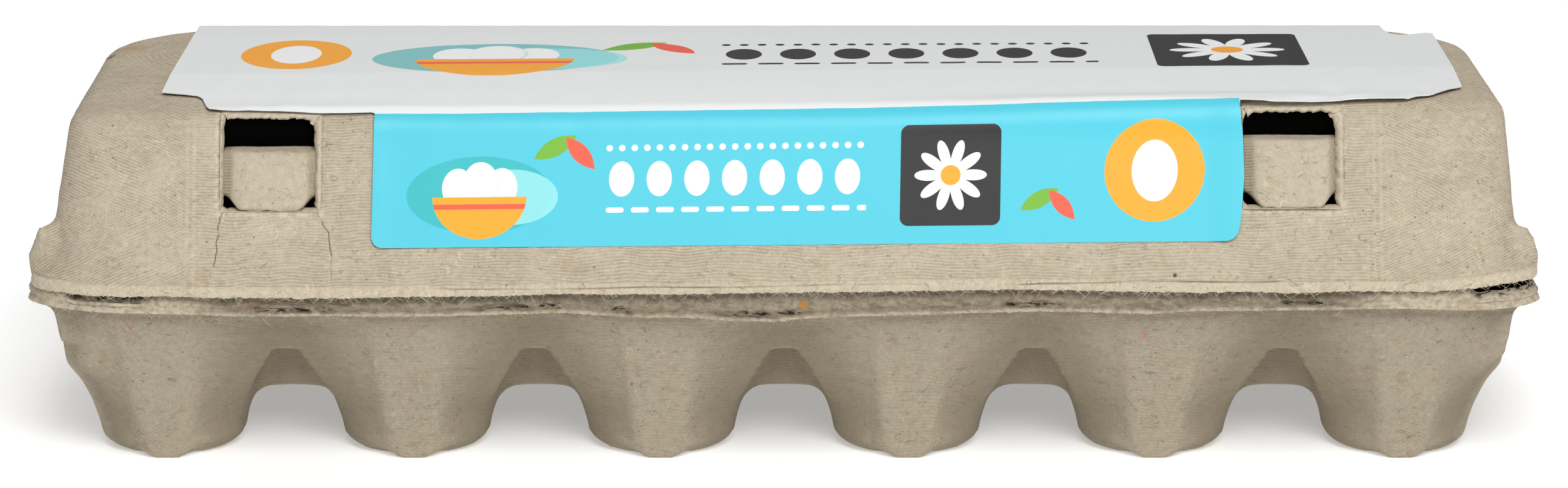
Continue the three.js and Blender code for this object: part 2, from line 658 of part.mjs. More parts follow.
function frontWallAt(z) {
  const foot = LID_UNDERSIDE + LIP_HEIGHT + FOLD_RISE;
  return -(LIP_FRONT - FOLD_STEP - (z - foot) * Math.tan(FRONT_WALL_LEAN));
}

// A latch window: a cut through the front wall, opening into a wider hollow behind the pulp.
function windowCut({ centre, low, high }) {
  const half = WINDOW_WIDTH / 2;
  const back = frontWallAt(low) + WINDOW_DEPTH;
  const opening = block(centre - half, centre + half, -LIP_FRONT, back, low, high);
  const lean = [low, high].map((z) => [frontWallAt(z) + WINDOW_WALL, z]);
  const hollow = extrudeAlongX(
    [...lean, [back, high], [back, low]],
    centre - half - WINDOW_UNDERCUT,
    centre + half + WINDOW_UNDERCUT,
  );
  return opening.add(hollow);
}

function makeLid() {
  const corners = [[-1, -1], [-1, 1], [1, -1], [1, 1]];
  const shell = corners.reduce((solid, [sideX, sideY]) => solid.add(lidEar(sideX, sideY)), lidShell());
  return LATCHES.reduce((solid, latch) => solid.subtract(windowCut(latch)), shell);
}

// Grid of a knob's face, from side to side and from its bottom to its top.
const KNOB_ACROSS = [-1, -0.86, -0.72, -0.45, 0, 0.45, 0.72, 0.86, 1];
const KNOB_UP = [0, 0.1, 0.22, 0.5, 0.78, 0.93, 1];
const KNOB_FULL_FROM = 0.2;
const KNOB_FULL_TO = 0.86;

// A knob: a pillow-like face between sloping sides, on a plain body that fills the window's hollow.
function makeKnob({ centre, low: sill, knobTop }) {
  const half = WINDOW_WIDTH / 2 - KNOB_CLEARANCE;
  const low = sill + KNOB_CLEARANCE;
  const back = frontWallAt(sill) + WINDOW_DEPTH - KNOB_CLEARANCE;
  const [across, up] = [KNOB_ACROSS, KNOB_UP];
  const faceDepth = (s, t) => {
    const sides = ramp(Math.abs(s) * half, half, KNOB_FACE_HALF_WIDTH - KNOB_FACE_ROUND);
    const ends = ramp(t, 0, KNOB_FULL_FROM) * lerp(KNOB_TOP_RELIEF, 1, ramp(t, 1, KNOB_FULL_TO));
    return (KNOB_SUNK + KNOB_PROUD) * sides * ends;
  };
  const front = up.map((t) => across.map((s) => {
    const z = lerp(low, knobTop, t);
    return [centre + s * half, frontWallAt(z) + KNOB_SUNK - faceDepth(s, t), z];
  }));
  const rear = up.map((t) => across.map((s) => [centre + s * half, back, lerp(low, knobTop, t)]));
  const triangles = [];
  const quad = (a, b, c, d) => triangles.push([a, b, c], [a, c, d]);
  for (let j = 0; j + 1 < up.length; j += 1) {
    for (let i = 0; i + 1 < across.length; i += 1) {
      quad(front[j][i], front[j][i + 1], front[j + 1][i + 1], front[j + 1][i]);
      quad(rear[j][i], rear[j + 1][i], rear[j + 1][i + 1], rear[j][i + 1]);
    }
    const last = across.length - 1;
    quad(front[j][last], rear[j][last], rear[j + 1][last], front[j + 1][last]);
    quad(front[j][0], front[j + 1][0], rear[j + 1][0], rear[j][0]);
  }
  const top = up.length - 1;
  for (let i = 0; i + 1 < across.length; i += 1) {
    quad(front[0][i], rear[0][i], rear[0][i + 1], front[0][i + 1]);
    quad(front[top][i], front[top][i + 1], rear[top][i + 1], rear[top][i]);
  }
  return solidFromTriangles(triangles);
}

// The lid's outline seen from its end, from the foot of the front wall over the top to the back.
function lidProfile() {
  const front = LID_LEVELS.slice(2).map(({ front: y, zFront: z }) => [-y, z]);
  const back = LID_LEVELS.slice(2).map(({ back: y, zBack: z }) => [y, z]).reverse();
  return [...front, ...back];
}

function offsetProfile(points, by) {
  return points.map((point, i) => {
    const before = points[Math.max(i - 1, 0)];
    const after = points[Math.min(i + 1, points.length - 1)];
    const length = Math.hypot(after[0] - before[0], after[1] - before[1]);
    const normal = [-(after[1] - before[1]) / length, (after[0] - before[0]) / length];
    return [point[0] + normal[0] * by, point[1] + normal[1] * by];
  });
}

// Plan of the label's wide top part, anticlockwise, reaching over the crease to the tab's front.
function labelTopPlan() {
  const shape = new THREE.Shape();
  const turned = ([x, y]) => [x, y + LABEL_TURN * (x - TAB_LEFT)];
  shape.moveTo(TAB_LEFT, -LIP_FRONT);
  shape.lineTo(TAB_RIGHT, -LIP_FRONT);
  [...RIGHT_STEPS, ...RIGHT_EDGE].map(turned).forEach(([x, y]) => shape.lineTo(x, y));
  shape.quadraticCurveTo(...RIGHT_CURVE.map(turned).flat());
  shape.lineTo(RIGHT_BACK, LABEL_BACK);
  shape.lineTo(LEFT_BACK, LABEL_BACK);
  LEFT_END.map(turned).forEach(([x, y]) => shape.lineTo(x, y));
  LEFT_CURVES.forEach((curve) => shape.quadraticCurveTo(...curve.map(turned).flat()));
  shape.lineTo(TAB_LEFT, LEFT_CREASE);
  shape.closePath();
  return shape;
}

function labelTabFace() {
  const shape = new THREE.Shape();
  const r = TAB_CORNER;
  const low = TAB_BOTTOM;
  const lowRight = low + LABEL_TURN * (TAB_RIGHT - TAB_LEFT);
  const high = TOP_CUT[0] + 1;
  shape.moveTo(TAB_RIGHT, high);
  shape.lineTo(TAB_LEFT, high);
  shape.lineTo(TAB_LEFT, low + r);
  shape.absarc(TAB_LEFT + r, low + r, r, Math.PI, 1.5 * Math.PI, false);
  shape.lineTo(TAB_RIGHT - r, lowRight);
  shape.absarc(TAB_RIGHT - r, lowRight + r, r, 1.5 * Math.PI, 2 * Math.PI, false);
  shape.closePath();
  return shape;
}

function makeLabel() {
  const profile = lidProfile();
  const inner = offsetProfile(profile, LABEL_GAP);
  const outer = offsetProfile(profile, LABEL_GAP + LABEL_THICKNESS);
  const section = [...outer, ...inner.reverse()].reverse();
  const sheet = extrudeAlongX(section, -LIP_HALF_LENGTH - CUT_OVERLAP, LIP_HALF_LENGTH + CUT_OVERLAP);
  const top = extrudeAlongZ(labelTopPlan(), ...TOP_CUT);
  const tab = extrudeAlongY(labelTabFace(), ...TAB_CUT);
  const label = sheet.intersect(top.add(tab));
  return label.warp((point) => {
    const [x, y, z] = skew([point[0], point[1], point[2]]);
    point[0] = x;
    point[1] = y;
    point[2] = z;
  });
}

function makeHinge() {
  const inside = LIP_BACK + HINGE_GAP;
  const bead = HINGE_BEAD.map(([inset, up]) => [HINGE_REACH - inset, up]);
  const section = [
    [inside, HINGE_LOW],
    ...bead.map(([y, up]) => [y, HINGE_LOW + up]),
    [HINGE_REACH, (HINGE_LOW + HINGE_HIGH) / 2],
    ...bead.map(([y, up]) => [y, HINGE_HIGH - up]).reverse(),
    [inside, HINGE_HIGH],
  ];
  return extrudeAlongX(section, -HINGE_HALF_LENGTH, HINGE_HALF_LENGTH);
}

const carton = new THREE.Group();

function addPiece(name, solid, material) {
  const mesh = new THREE.Mesh(geometryFromSolid(solid), material);
  mesh.name = name;
  carton.add(mesh);
}

addPiece('tray', makeTray(), PULP_DARK);
addPiece('lid', makeLid(), PULP_LIGHT);
addPiece('latch_knob_left', makeKnob(LATCHES[0]), PULP_KNOB);
addPiece('latch_knob_right', makeKnob(LATCHES[1]), PULP_KNOB);
addPiece('hinge', makeHinge(), PULP_HINGE);
addPiece('label', makeLabel(), PAPER);

export default carton;
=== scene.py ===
import math

import bpy
import numpy as np
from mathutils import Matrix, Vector, noise


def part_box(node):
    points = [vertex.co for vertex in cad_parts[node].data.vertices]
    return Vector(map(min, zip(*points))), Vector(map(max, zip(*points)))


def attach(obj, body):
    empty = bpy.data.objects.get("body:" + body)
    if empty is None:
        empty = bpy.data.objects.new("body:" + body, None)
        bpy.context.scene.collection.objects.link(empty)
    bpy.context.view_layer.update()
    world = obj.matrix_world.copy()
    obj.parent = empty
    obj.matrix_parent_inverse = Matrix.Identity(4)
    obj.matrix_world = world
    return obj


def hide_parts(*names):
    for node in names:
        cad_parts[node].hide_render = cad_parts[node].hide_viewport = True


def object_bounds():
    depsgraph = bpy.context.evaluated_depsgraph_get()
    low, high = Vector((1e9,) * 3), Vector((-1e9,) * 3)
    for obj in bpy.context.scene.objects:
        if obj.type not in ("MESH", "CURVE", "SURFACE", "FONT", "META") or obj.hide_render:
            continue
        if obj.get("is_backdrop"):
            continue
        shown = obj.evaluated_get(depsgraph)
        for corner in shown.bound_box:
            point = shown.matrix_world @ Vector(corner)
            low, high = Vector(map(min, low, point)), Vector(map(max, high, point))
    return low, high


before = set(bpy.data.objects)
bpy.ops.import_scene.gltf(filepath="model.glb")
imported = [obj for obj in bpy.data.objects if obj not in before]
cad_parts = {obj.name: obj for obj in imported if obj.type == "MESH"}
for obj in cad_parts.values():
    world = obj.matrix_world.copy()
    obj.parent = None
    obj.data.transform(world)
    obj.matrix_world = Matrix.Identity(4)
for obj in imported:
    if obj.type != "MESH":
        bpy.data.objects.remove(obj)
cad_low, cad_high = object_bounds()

# The tray. Twelve cups of grey-brown paper pulp, moulded in one piece under a flange. The face that
# lay on the mould's wire mesh is outside: it has soft edges, felted fibres and a fine grain. The
# tray's edge is trimmed roughly, so the flange's front face is layered and torn.
MM = 0.001
TRAY_GRAIN = 1.1 * MM
# Partly painted shade: the tray's colours are darker than the lid's, for the shade on its lower,
# downward-facing walls.
TRAY_LIGHT = (0.425, 0.368, 0.276)
TRAY_DARK = (0.318, 0.276, 0.207)
TRAY_LEVELS = 41
MESH_PITCH = 0.66 * MM
FLANGE_LOW, FLANGE_HIGH = 33.8 * MM, 37.1 * MM
UNDER_ROLL_SHRINK = (0.011, 0.031)
HEM_AT = (
    -140, -132, -114, -104, -73, -66, -42, -30, -18, -12, -2, 4,
    8, 18, 30, 48, 60, 70, 78, 102, 120, 135, 141)
HEM_HEIGHT = (
    35.0, 34.8, 34.4, 34.2, 34.2, 34.2, 34.9, 34.0, 33.9, 33.4, 33.1, 33.8,
    34.0, 34.3, 34.7, 35.2, 35.0, 34.7, 35.2, 35.5, 35.6, 35.0, 34.9)


def placed(name, data):
    """A new object in the scene."""
    made = bpy.data.objects.new(name, data)
    bpy.context.scene.collection.objects.link(made)
    return made


def alone(piece):
    """Selects one piece and nothing else."""
    bpy.ops.object.select_all(action="DESELECT")
    piece.select_set(True)
    bpy.context.view_layer.objects.active = piece


def finished_by(piece, kind, **settings):
    """Adds a modifier and applies it."""
    alone(piece)
    modifier = piece.modifiers.new(kind.title(), kind)
    for name, value in settings.items():
        setattr(modifier, name, value)
    bpy.ops.object.modifier_apply(modifier=modifier.name)


def moulded_copy(node, name, grain, rounds):
    """A copy of a CAD node as one even skin, its edges rounded as wet pulp rounds them."""
    piece = placed(name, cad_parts[node].data.copy())
    alone(piece)
    bpy.ops.object.mode_set(mode="EDIT")
    bpy.ops.mesh.select_all(action="SELECT")
    bpy.ops.mesh.remove_doubles(threshold=0.001 * MM)
    bpy.ops.object.mode_set(mode="OBJECT")
    piece.data.materials.clear()
    finished_by(piece, "REMESH", mode="VOXEL", voxel_size=grain)
    finished_by(piece, "SMOOTH", factor=0.5, iterations=rounds)
    alone(piece)
    bpy.ops.object.shade_smooth()
    return piece


def points_of(piece):
    """Positions and normals of a mesh, as arrays."""
    count = len(piece.data.vertices)
    place = np.empty(count * 3)
    normal = np.empty(count * 3)
    piece.data.vertices.foreach_get("co", place)
    piece.data.vertex_normals.foreach_get("vector", normal)
    return place.reshape(-1, 3), normal.reshape(-1, 3)


def set_points(piece, place):
    piece.data.vertices.foreach_set("co", place.ravel())
    piece.data.update()


def uneven(place, scale, seed):
    """Smooth noise between -1 and 1 at each point; scale is in lumps per metre."""
    shift = Vector((seed * 3.7, seed * 1.3, seed * 7.1))
    return np.array([noise.noise(Vector(p) * scale + shift) for p in place])


def rise(value, start, full):
    """A smooth step from 0 at start to 1 at full."""
    t = np.clip((value - start) / (full - start), 0, 1)
    return t * t * (3 - 2 * t)


def hem_height(x):
    """How high the flange's lower edge runs along the front, in millimetres; it sags and rises."""
    return np.interp(x, HEM_AT, HEM_HEIGHT)


def marked(piece, name, values):
    """Stores one number for each point, for the material to read."""
    layer = piece.data.attributes.new(name, "FLOAT", "POINT")
    layer.data.foreach_set("value", np.ascontiguousarray(values, np.float32))


tray = moulded_copy("tray", "tray_pulp", TRAY_GRAIN, 3)
place, normal = points_of(tray)
# Painted shade: the tray's up-facing top under the lid is marked to be painted near black.
marked(tray, "inside", rise(normal[:, 2], 0.5, 0.8) * rise(place[:, 2], 35.5 * MM, 36.5 * MM))
level = (np.minimum(place[:, 2], FLANGE_LOW - 1.5 * MM) / MM).astype(int).clip(0, TRAY_LEVELS - 1)
reach = np.array([
    np.abs(place[level == k, :2]).max(axis=0) if (level == k).any() else (0, 0)
    for k in range(TRAY_LEVELS)])
behind = (reach[level] - np.abs(place[:, :2])).min(axis=1) / MM
not_sole = (1 - rise(-normal[:, 2], 0.75, 0.95)) * (place[:, 2] < FLANGE_LOW)
# Painted shade: how deep each point lies inside the tray's outline, so the hollows between the cups can be
# darkened.
marked(tray, "recess_shade", rise(behind, 0.9, 4.2) * not_sole)
standing = rise(place[:, 2], 0.4 * MM, 3 * MM)
lumps = 0.13 * MM * uneven(place, 70, 1) + 0.06 * MM * uneven(place, 330, 2)
place += normal * (standing * lumps)[:, None]
at_front = rise(-place[:, 1], 44 * MM, 50 * MM)
at_flange = rise(place[:, 2], 29 * MM, FLANGE_LOW)
at_flange *= 1 - rise(place[:, 2], FLANGE_HIGH - 1.5 * MM, FLANGE_HIGH)
under_roll = rise(place[:, 2], FLANGE_LOW + 0.1 * MM, FLANGE_LOW + 0.9 * MM)
place[:, :2] *= 1 - under_roll[:, None] * UNDER_ROLL_SHRINK
place[:, 2] += at_front * at_flange * (hem_height(place[:, 0] / MM) * MM - FLANGE_LOW).clip(0)
place[:, 2] = place[:, 2].clip(0)
set_points(tray, place)


class Value:
    """A number that varies over a surface: arithmetic on it adds the Math nodes it needs."""

    def __init__(self, finish, socket):
        self.finish, self.socket = finish, socket

    def math(self, operation, *others):
        values = {i + 1: other for i, other in enumerate(others)}
        return self.finish.node("ShaderNodeMath", {"operation": operation}, {0: self, **values})

    def __add__(self, other):
        return self.math("ADD", other)

    def __mul__(self, other):
        return self.math("MULTIPLY", other)

    def __sub__(self, other):
        return self.math("SUBTRACT", other)

    def __rsub__(self, other):
        return self * -1.0 + other

    def __truediv__(self, other):
        return self.math("DIVIDE", other)

    def __abs__(self):
        return self.math("ABSOLUTE")

    def sqrt(self):
        return self.math("SQRT")

    def sin(self):
        return self.math("SINE")

    def over(self, other):
        return self.math("MAXIMUM", other)

    def under(self, other):
        return self.math("MINIMUM", other)

    __radd__, __rmul__ = __add__, __mul__

    def ramp(self, start, full):
        """0 at start and 1 at full, with a smooth step between them."""
        return self.finish.node(
            "ShaderNodeMapRange", {"interpolation_type": "SMOOTHSTEP"},
            {"Value": self, "From Min": start, "From Max": full})


class Finish:
    """One material, made node by node."""

    def __init__(self, name):
        self.material = bpy.data.materials.new(name)
        self.material.use_nodes = True
        self.tree = self.material.node_tree
        self.surface = self.tree.nodes["Principled BSDF"]

    def node(self, kind, settings=None, inputs=None, output=0):
        made = self.tree.nodes.new(kind)
        for name, value in (settings or {}).items():
            setattr(made, name, value)
        for key, value in (inputs or {}).items():
            if isinstance(value, Value):
                self.tree.links.new(value.socket, made.inputs[key])
            else:
                made.inputs[key].default_value = value
        return Value(self, made.outputs[output])

    def axes(self, vector):
        split = self.tree.nodes.new("ShaderNodeSeparateXYZ")
        self.tree.links.new(vector.socket, split.inputs[0])
        return [Value(self, output) for output in split.outputs]

    def grain(self, vector, scale, detail=2.0, distortion=0.0, roughness=0.5):
        return self.node("ShaderNodeTexNoise", {}, {
            "Vector": vector, "Scale": scale, "Detail": detail,
            "Distortion": distortion, "Roughness": roughness})

    def moved(self, vector, shift=(0, 0, 0), stretch=(1, 1, 1), turn=(0, 0, 0)):
        return self.node("ShaderNodeMapping", {}, {
            "Vector": vector, "Location": shift, "Rotation": turn, "Scale": stretch})

    def mark(self, name):
        """The number that the mesh carries at each point under this name."""
        return self.node("ShaderNodeAttribute", {"attribute_name": name}, output=2)

    def painted(self, under, colour, cover):
        """One colour over another where cover is 1."""
        inputs = {0: cover}
        inputs[6] = under if isinstance(under, Value) else (*under, 1)
        inputs[7] = colour if isinstance(colour, Value) else (*colour, 1)
        return self.node("ShaderNodeMix", {"data_type": "RGBA"}, inputs, output=2)

    def surfaced(self, **inputs):
        for name, value in inputs.items():
            socket = self.surface.inputs[name.replace("_", " ")]
            if isinstance(value, Value):
                self.tree.links.new(value.socket, socket)
            else:
                socket.default_value = value

    def bumped(self, height, depth, strength):
        return self.node("ShaderNodeBump", {}, {"Height": height, "Distance": depth, "Strength": strength})


def pulp(name, light, dark, mesh_lines, extra=None):
    """Moulded paper pulp: mottled felt with fibres, specks and, on the mesh side, fine lines."""
    finish = Finish(name)
    place = finish.node("ShaderNodeTexCoord", output=3)
    x, y, z = finish.axes(place)
    cloud = finish.grain(place, 45, 3, 0.4)
    felt = finish.grain(place, 900, 4, 0.2, 0.7)
    fine = finish.grain(place, 2600, 2, 0, 0.6)
    colour = finish.painted(dark, light, (cloud * 0.18 + felt * 0.9 + fine * 0.6).ramp(0.5, 1.18))
    fibres = []
    for seed, stretch, turn in ((1, (1, 1, 0.45), 0.3), (2, (0.5, 1, 1), -0.5), (3, (1, 0.7, 0.6), 1.1)):
        spun = finish.moved(place, (seed * 0.31, seed * 0.17, seed * 0.53), stretch, (turn, turn * 0.7, turn))
        wave = finish.grain(spun, 420, 1.5, 1.8)
        lone = finish.grain(spun, 560, 1, 0).ramp(0.5, 0.6)
        fibres.append((1 - abs(wave - 0.5).ramp(0.006, 0.022)) * lone)
    colour = finish.painted(colour, tuple(c * 1.2 for c in light), fibres[0] * 0.6)
    colour = finish.painted(colour, tuple(c * 0.55 for c in dark), fibres[1] * 0.6)
    tint = finish.grain(finish.moved(place, (0.4, 0.2, 0.9)), 260, 2, 0.8).ramp(0.64, 0.72)
    colour = finish.painted(colour, (dark[0] * 0.98, dark[1] * 0.78, dark[2] * 0.62), tint * 0.4)
    specks = finish.node("ShaderNodeTexVoronoi", {}, {"Vector": place, "Scale": 700.0})
    lone = finish.grain(place, 260, 1, 0).ramp(0.58, 0.66)
    speck = (1 - specks.ramp(0.1, 0.2)) * lone
    colour = finish.painted(colour, (0.14, 0.09, 0.055), speck * 0.7)
    height = felt * 0.6 + fine * 0.4 + (fibres[0] + fibres[2]) * 0.4
    if mesh_lines:
        wander = finish.grain(place, 60, 2) * 0.004
        level = (z + y * 0.4 + wander) * (2 * math.pi / MESH_PITCH)
        askew = x * (math.pi / MESH_PITCH)
        upper = z.ramp(49 * MM, 56 * MM)
        at_end = abs(x).ramp(110 * MM, 117 * MM)
        corner = (level + askew).sin() * upper + (level - askew).sin() * (1 - upper)
        line = corner * at_end + level.sin() * (1 - at_end)
        seen = (finish.grain(place, 110, 2).ramp(0.3, 0.6) * 0.5 + 0.5) * mesh_lines
        dashes = finish.grain(finish.moved(place, stretch=(0.7, 1, 3)), 700, 2).ramp(0.25, 0.6) * 0.65 + 0.35
        height = height + line * seen * dashes * 0.7
        groove = (line * -0.5 + 0.5).ramp(0.35, 1.0) * seen * dashes
        colour = finish.painted(colour, (dark[0] * 0.66, dark[1] * 0.6, dark[2] * 0.52), groove * 0.5)
    if extra:
        colour, height = extra(finish, place, (x, y, z), colour, height)
    finish.surfaced(Base_Color=colour, Roughness=0.93, Normal=finish.bumped(height, 0.22 * MM, 0.6))
    finish.surfaced(Specular_IOR_Level=0.04)
    return finish.material


def tray_marks(finish, place, xyz, colour, height):
    """Painted shade in the hollows and painted black under the lid, and a few reddish and blue fibres."""
    x, y, z = xyz
    recess_shade = finish.mark("recess_shade")
    # Painted shade: the hollows between the cups are darkened.
    colour = finish.painted(colour, (0.185, 0.153, 0.106), recess_shade * 0.56)
    inside = finish.mark("inside")
    # Painted shade: near black where the tray's top lies in the shade under the lid.
    colour = finish.painted(colour, (0.012, 0.009, 0.007), inside)
    wobble = (finish.grain(place, 500, 2) - 0.5) * (1.2 * MM)
    for at_x, at_z, reach, thick, lean, tint in (
            (-126.3, 31.0, 2.4, 0.22, -1.4, (0.40, 0.17, 0.08)),
            (69.5, 28.6, 0.5, 1.0, 0.2, (0.62, 0.12, 0.10)),
            (27.0, 30.4, 0.5, 0.22, 0.6, (0.08, 0.25, 0.30)),
            (-71.5, 29.2, 0.8, 0.2, 0.8, (0.42, 0.14, 0.07))):
        dx, dz = x - at_x * MM + wobble * 0.4, z - at_z * MM + wobble * 0.4
        away = abs(dz - dx * lean) / math.hypot(1, lean)
        mark = 1 - away.ramp(thick * 0.2 * MM, thick * MM)
        mark = mark * (1 - abs(dx).ramp(reach * 0.3 * MM, reach * MM))
        colour = finish.painted(colour, tint, mark * (1 - y.ramp(-0.03, -0.028)) * 0.6)
    return colour, height


tray.data.materials.append(pulp("tray_pulp", TRAY_LIGHT, TRAY_DARK, 0.25, tray_marks))
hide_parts("tray")
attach(tray, "root")

# The lid. The same pulp over the tray, lighter than the tray, whose colours are partly painted shade:
# drafted walls, a step for the fold at its foot, a flared lip with a trimmed edge, and two windows cut
# through its front wall for the latch.
# Two cracks run down from the left window, and the corners are creased and stained.
LID_GRAIN = 0.95 * MM
LID_LIGHT = (0.57, 0.493, 0.376)
LID_DARK = (0.43, 0.371, 0.283)
LIP_LOW, LIP_HIGH = 37.5 * MM, 39.5 * MM
LIP_AT = (
    -145, -139, -132, -126, -118, -111, -104, -83, -72, -54, -42, -30, -18, -6, 6, 18,
    42, 54, 66, 78, 90, 96, 102, 108, 124, 132, 138, 143)
LIP_HEIGHT = (
    38.3, 38.6, 38.4, 38.4, 38.5, 38.2, 38.2, 38.1, 38.4, 38.6, 39.0, 38.9, 38.95, 39.2, 39.3, 39.45,
    39.85, 39.7, 39.45, 39.25, 39.5, 39.1, 39.3, 39.5, 39.5, 40.0, 40.35, 40.2)
WALL_SLOPE = math.tan(math.radians(20.5))
WALL_FOOT_Y, WALL_FOOT_Z = -52.4 * MM, 40.6 * MM
WINDOWS = ((-98.4 * MM, 53.2 * MM, 70.4 * MM), (97.2 * MM, 53.8 * MM, 71.8 * MM))
WINDOW_HALF = 9.45 * MM
CAVITY_BACK = -35.5 * MM
MOST_X, MOST_Y = 145.85, 53.78
CRACKS = (
    ((-107.1, 53.4), (-107.9, 52.1), (-108.2, 50.6), (-108.0, 49.2), (-108.5, 47.6), (-108.3, 46.2),
     (-108.9, 43.5)),
    ((-89.3, 52.9), (-88.5, 51.8), (-88.3, 50.9), (-87.2, 49.6), (-86.9, 48.2), (-86.5, 45.4)),
    ((-86.5, 45.4), (-86.7, 43.0), (-86.4, 40.6)),
)
CRACK_DARKNESS = (0.8, 0.8, 0.3)


def lip_height(x):
    """How high the lip's lower edge runs along the front, in millimetres; the right end is lifted."""
    return np.interp(x, LIP_AT, LIP_HEIGHT)


lid = moulded_copy("lid", "lid_pulp", LID_GRAIN, 3)
place, normal = points_of(lid)
# Painted shade: the lid's underside is marked to be painted near black.
marked(lid, "inside", rise(-normal[:, 2], 0.5, 0.8) * (1 - rise(place[:, 2], 39 * MM, 41 * MM)))
lumps = 0.12 * MM * uneven(place, 60, 5) + 0.06 * MM * uneven(place, 300, 6)
ears = rise(np.abs(place[:, 0]), 135 * MM, 140 * MM) * (1 - rise(place[:, 2], 52 * MM, 57 * MM))
lumps += ears * MM * (0.45 * uneven(place, 130, 7) + 0.3 * uneven(place, 330, 4) - 0.15)
place += normal * lumps[:, None]
place[:, 0] = place[:, 0].clip(-MOST_X * MM, MOST_X * MM)
at_front = rise(-place[:, 1], 38 * MM, 46 * MM)
below = 1 - rise(place[:, 2], LIP_HIGH, LIP_HIGH + 13 * MM)
place[:, 2] += at_front * below * (lip_height(place[:, 0] / MM) * MM - LIP_LOW)
set_points(lid, place)


def fold_line(finish, place, xyz, colour, height):
    """The broken line of painted shade, with a groove in the bump, along the crease where the lip was folded,
    just above the lid's edge.
    """
    x, y, z = xyz
    fold = z - 40.25 * MM - (x * 0.0095 + (finish.grain(place, 45, 2) - 0.5) * (1.4 * MM))
    broken = finish.grain(finish.moved(place, stretch=(0.35, 1, 1)), 160, 2).ramp(0.4, 0.6)
    broken = broken * x.ramp(-0.07, -0.062) * (1 - x.ramp(0.1, 0.125)) * (1 - y.ramp(-0.05, -0.048))
    fold = (1 - abs(fold).ramp(0.05 * MM, 0.2 * MM)) * broken
    # Painted shade along the fold's crease.
    colour = finish.painted(colour, (0.19, 0.125, 0.07), fold * 0.75)
    return colour, height - fold * 1.2


def lid_marks(finish, place, xyz, colour, height):
    """Painted shade: black behind the windows and under the lid, darker towards the top; the windows' frayed
    edges, the cracks, stains and the fold line's painted shade.
    """
    x, y, z = xyz
    # Painted shade: darker towards the top of the front wall and its shoulder.
    colour = finish.painted(colour, (0.36, 0.31, 0.235), z.ramp(65 * MM, 71 * MM) * 0.1)
    colour, height = fold_line(finish, place, xyz, colour, height)
    # Painted shade: near black under the lid.
    inside = finish.mark("inside")
    colour = finish.painted(colour, (0.006, 0.005, 0.004), inside)
    wobble = (finish.grain(place, 420, 3) - 0.5) * (0.9 * MM)
    for points, darkness in zip(CRACKS, CRACK_DARKNESS):
        seen = None
        for (xa, za), (xb, zb) in zip(points, points[1:]):
            slope = (xb - xa) / (zb - za)
            away = abs(x - xa * MM - (z - za * MM) * slope + wobble)
            here = z.ramp(zb * MM - 0.1 * MM, zb * MM) * (1 - z.ramp(za * MM, za * MM + 0.1 * MM))
            part = (1 - away.ramp(0.05 * MM, 0.2 * MM)) * here
            seen = part if seen is None else seen.over(part)
        seen = seen * (1 - y.ramp(-0.044, -0.042)) * finish.grain(place, 330, 2).ramp(0.25, 0.5)
        colour = finish.painted(colour, (0.17, 0.125, 0.08), seen * darkness)
        height = height - seen * darkness * 2
    behind = y - (WALL_FOOT_Y + (z - WALL_FOOT_Z) * WALL_SLOPE)
    in_cavity = 1 - y.ramp(CAVITY_BACK, CAVITY_BACK + 3 * MM)
    for middle, low, high in WINDOWS:
        tall = (high - low) / 2
        across = abs(x - middle)
        level = abs(z - (low + high) / 2)
        near = 1 - across.ramp(WINDOW_HALF + 0.7 * MM, WINDOW_HALF + 1.3 * MM)
        near = near * (1 - level.ramp(tall + 0.6 * MM, tall + 1.2 * MM))
        pale_and_lit = near * in_cavity * finish.grain(place, 900, 2).ramp(0.35, 0.6)
        colour = finish.painted(colour, (0.66, 0.585, 0.45), pale_and_lit * 0.5)
        # Painted shade: black where one looks through the window into the hollow behind it.
        cut = 1 - across.ramp(WINDOW_HALF + 0.1 * MM, WINDOW_HALF + 0.4 * MM)
        cut = cut * behind.ramp(1.0 * MM, 2.0 * MM)
        hollow = 1 - across.ramp(WINDOW_HALF + 2 * MM, WINDOW_HALF + 3 * MM)
        hollow = hollow * behind.ramp(3.6 * MM, 4.6 * MM)
        inside = cut.over(hollow) * (1 - level.ramp(tall + 0.1 * MM, tall + 0.4 * MM))
        colour = finish.painted(colour, (0.0008, 0.0007, 0.0006), inside * in_cavity)
    for spot_x, spot_y, spot_z, size, stain, strength in (
            (-135.4, 7, 69.5, 1.5, (0.13, 0.08, 0.04), 0.85),
            (-131.3, 11.7, 70.5, 4.0, (0.42, 0.28, 0.14), 0.5),
            (-139, 2, 60, 3.0, (0.36, 0.25, 0.14), 0.3),
            (74.6, -52.6, 42.0, 0.5, (0.05, 0.05, 0.05), 0.9),
            (141.0, -38.0, 47.5, 3.0, (0.40, 0.28, 0.16), 0.4)):
        dx, dy, dz = x - spot_x * MM, y - spot_y * MM, z - spot_z * MM
        away = (dx * dx + dy * dy + dz * dz).sqrt()
        reach = away + (finish.grain(place, 300, 3) - 0.5) * (size * 1.6 * MM)
        colour = finish.painted(colour, stain, (1 - reach.ramp(size * 0.3 * MM, size * MM)) * strength)
    return colour, height


lid.data.materials.append(pulp("lid_pulp", LID_LIGHT, LID_DARK, 1.0, lid_marks))
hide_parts("lid")
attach(lid, "root")

# The torn edges. Where the carton was trimmed, the pulp came apart in layers: a ragged fringe hangs
# from the lid's lip, a rolled layer and a ragged hem run round the tray's flange, and single fibres
# stand out of all three. It is the same pulp, paler at the lip; the roll below it is darkened as
# painted shade for the lip's shadow.
LIP_OUTLINE = (145.2, 53.8, 52.2)
FLANGE_OUTLINE = (145.4, 52.3, 52.3)
LIP_ELSEWHERE, HEM_ELSEWHERE = 37.7, 34.0
EDGE_CORNER = (20.0, 10.0)
EDGE_STEP = 0.4


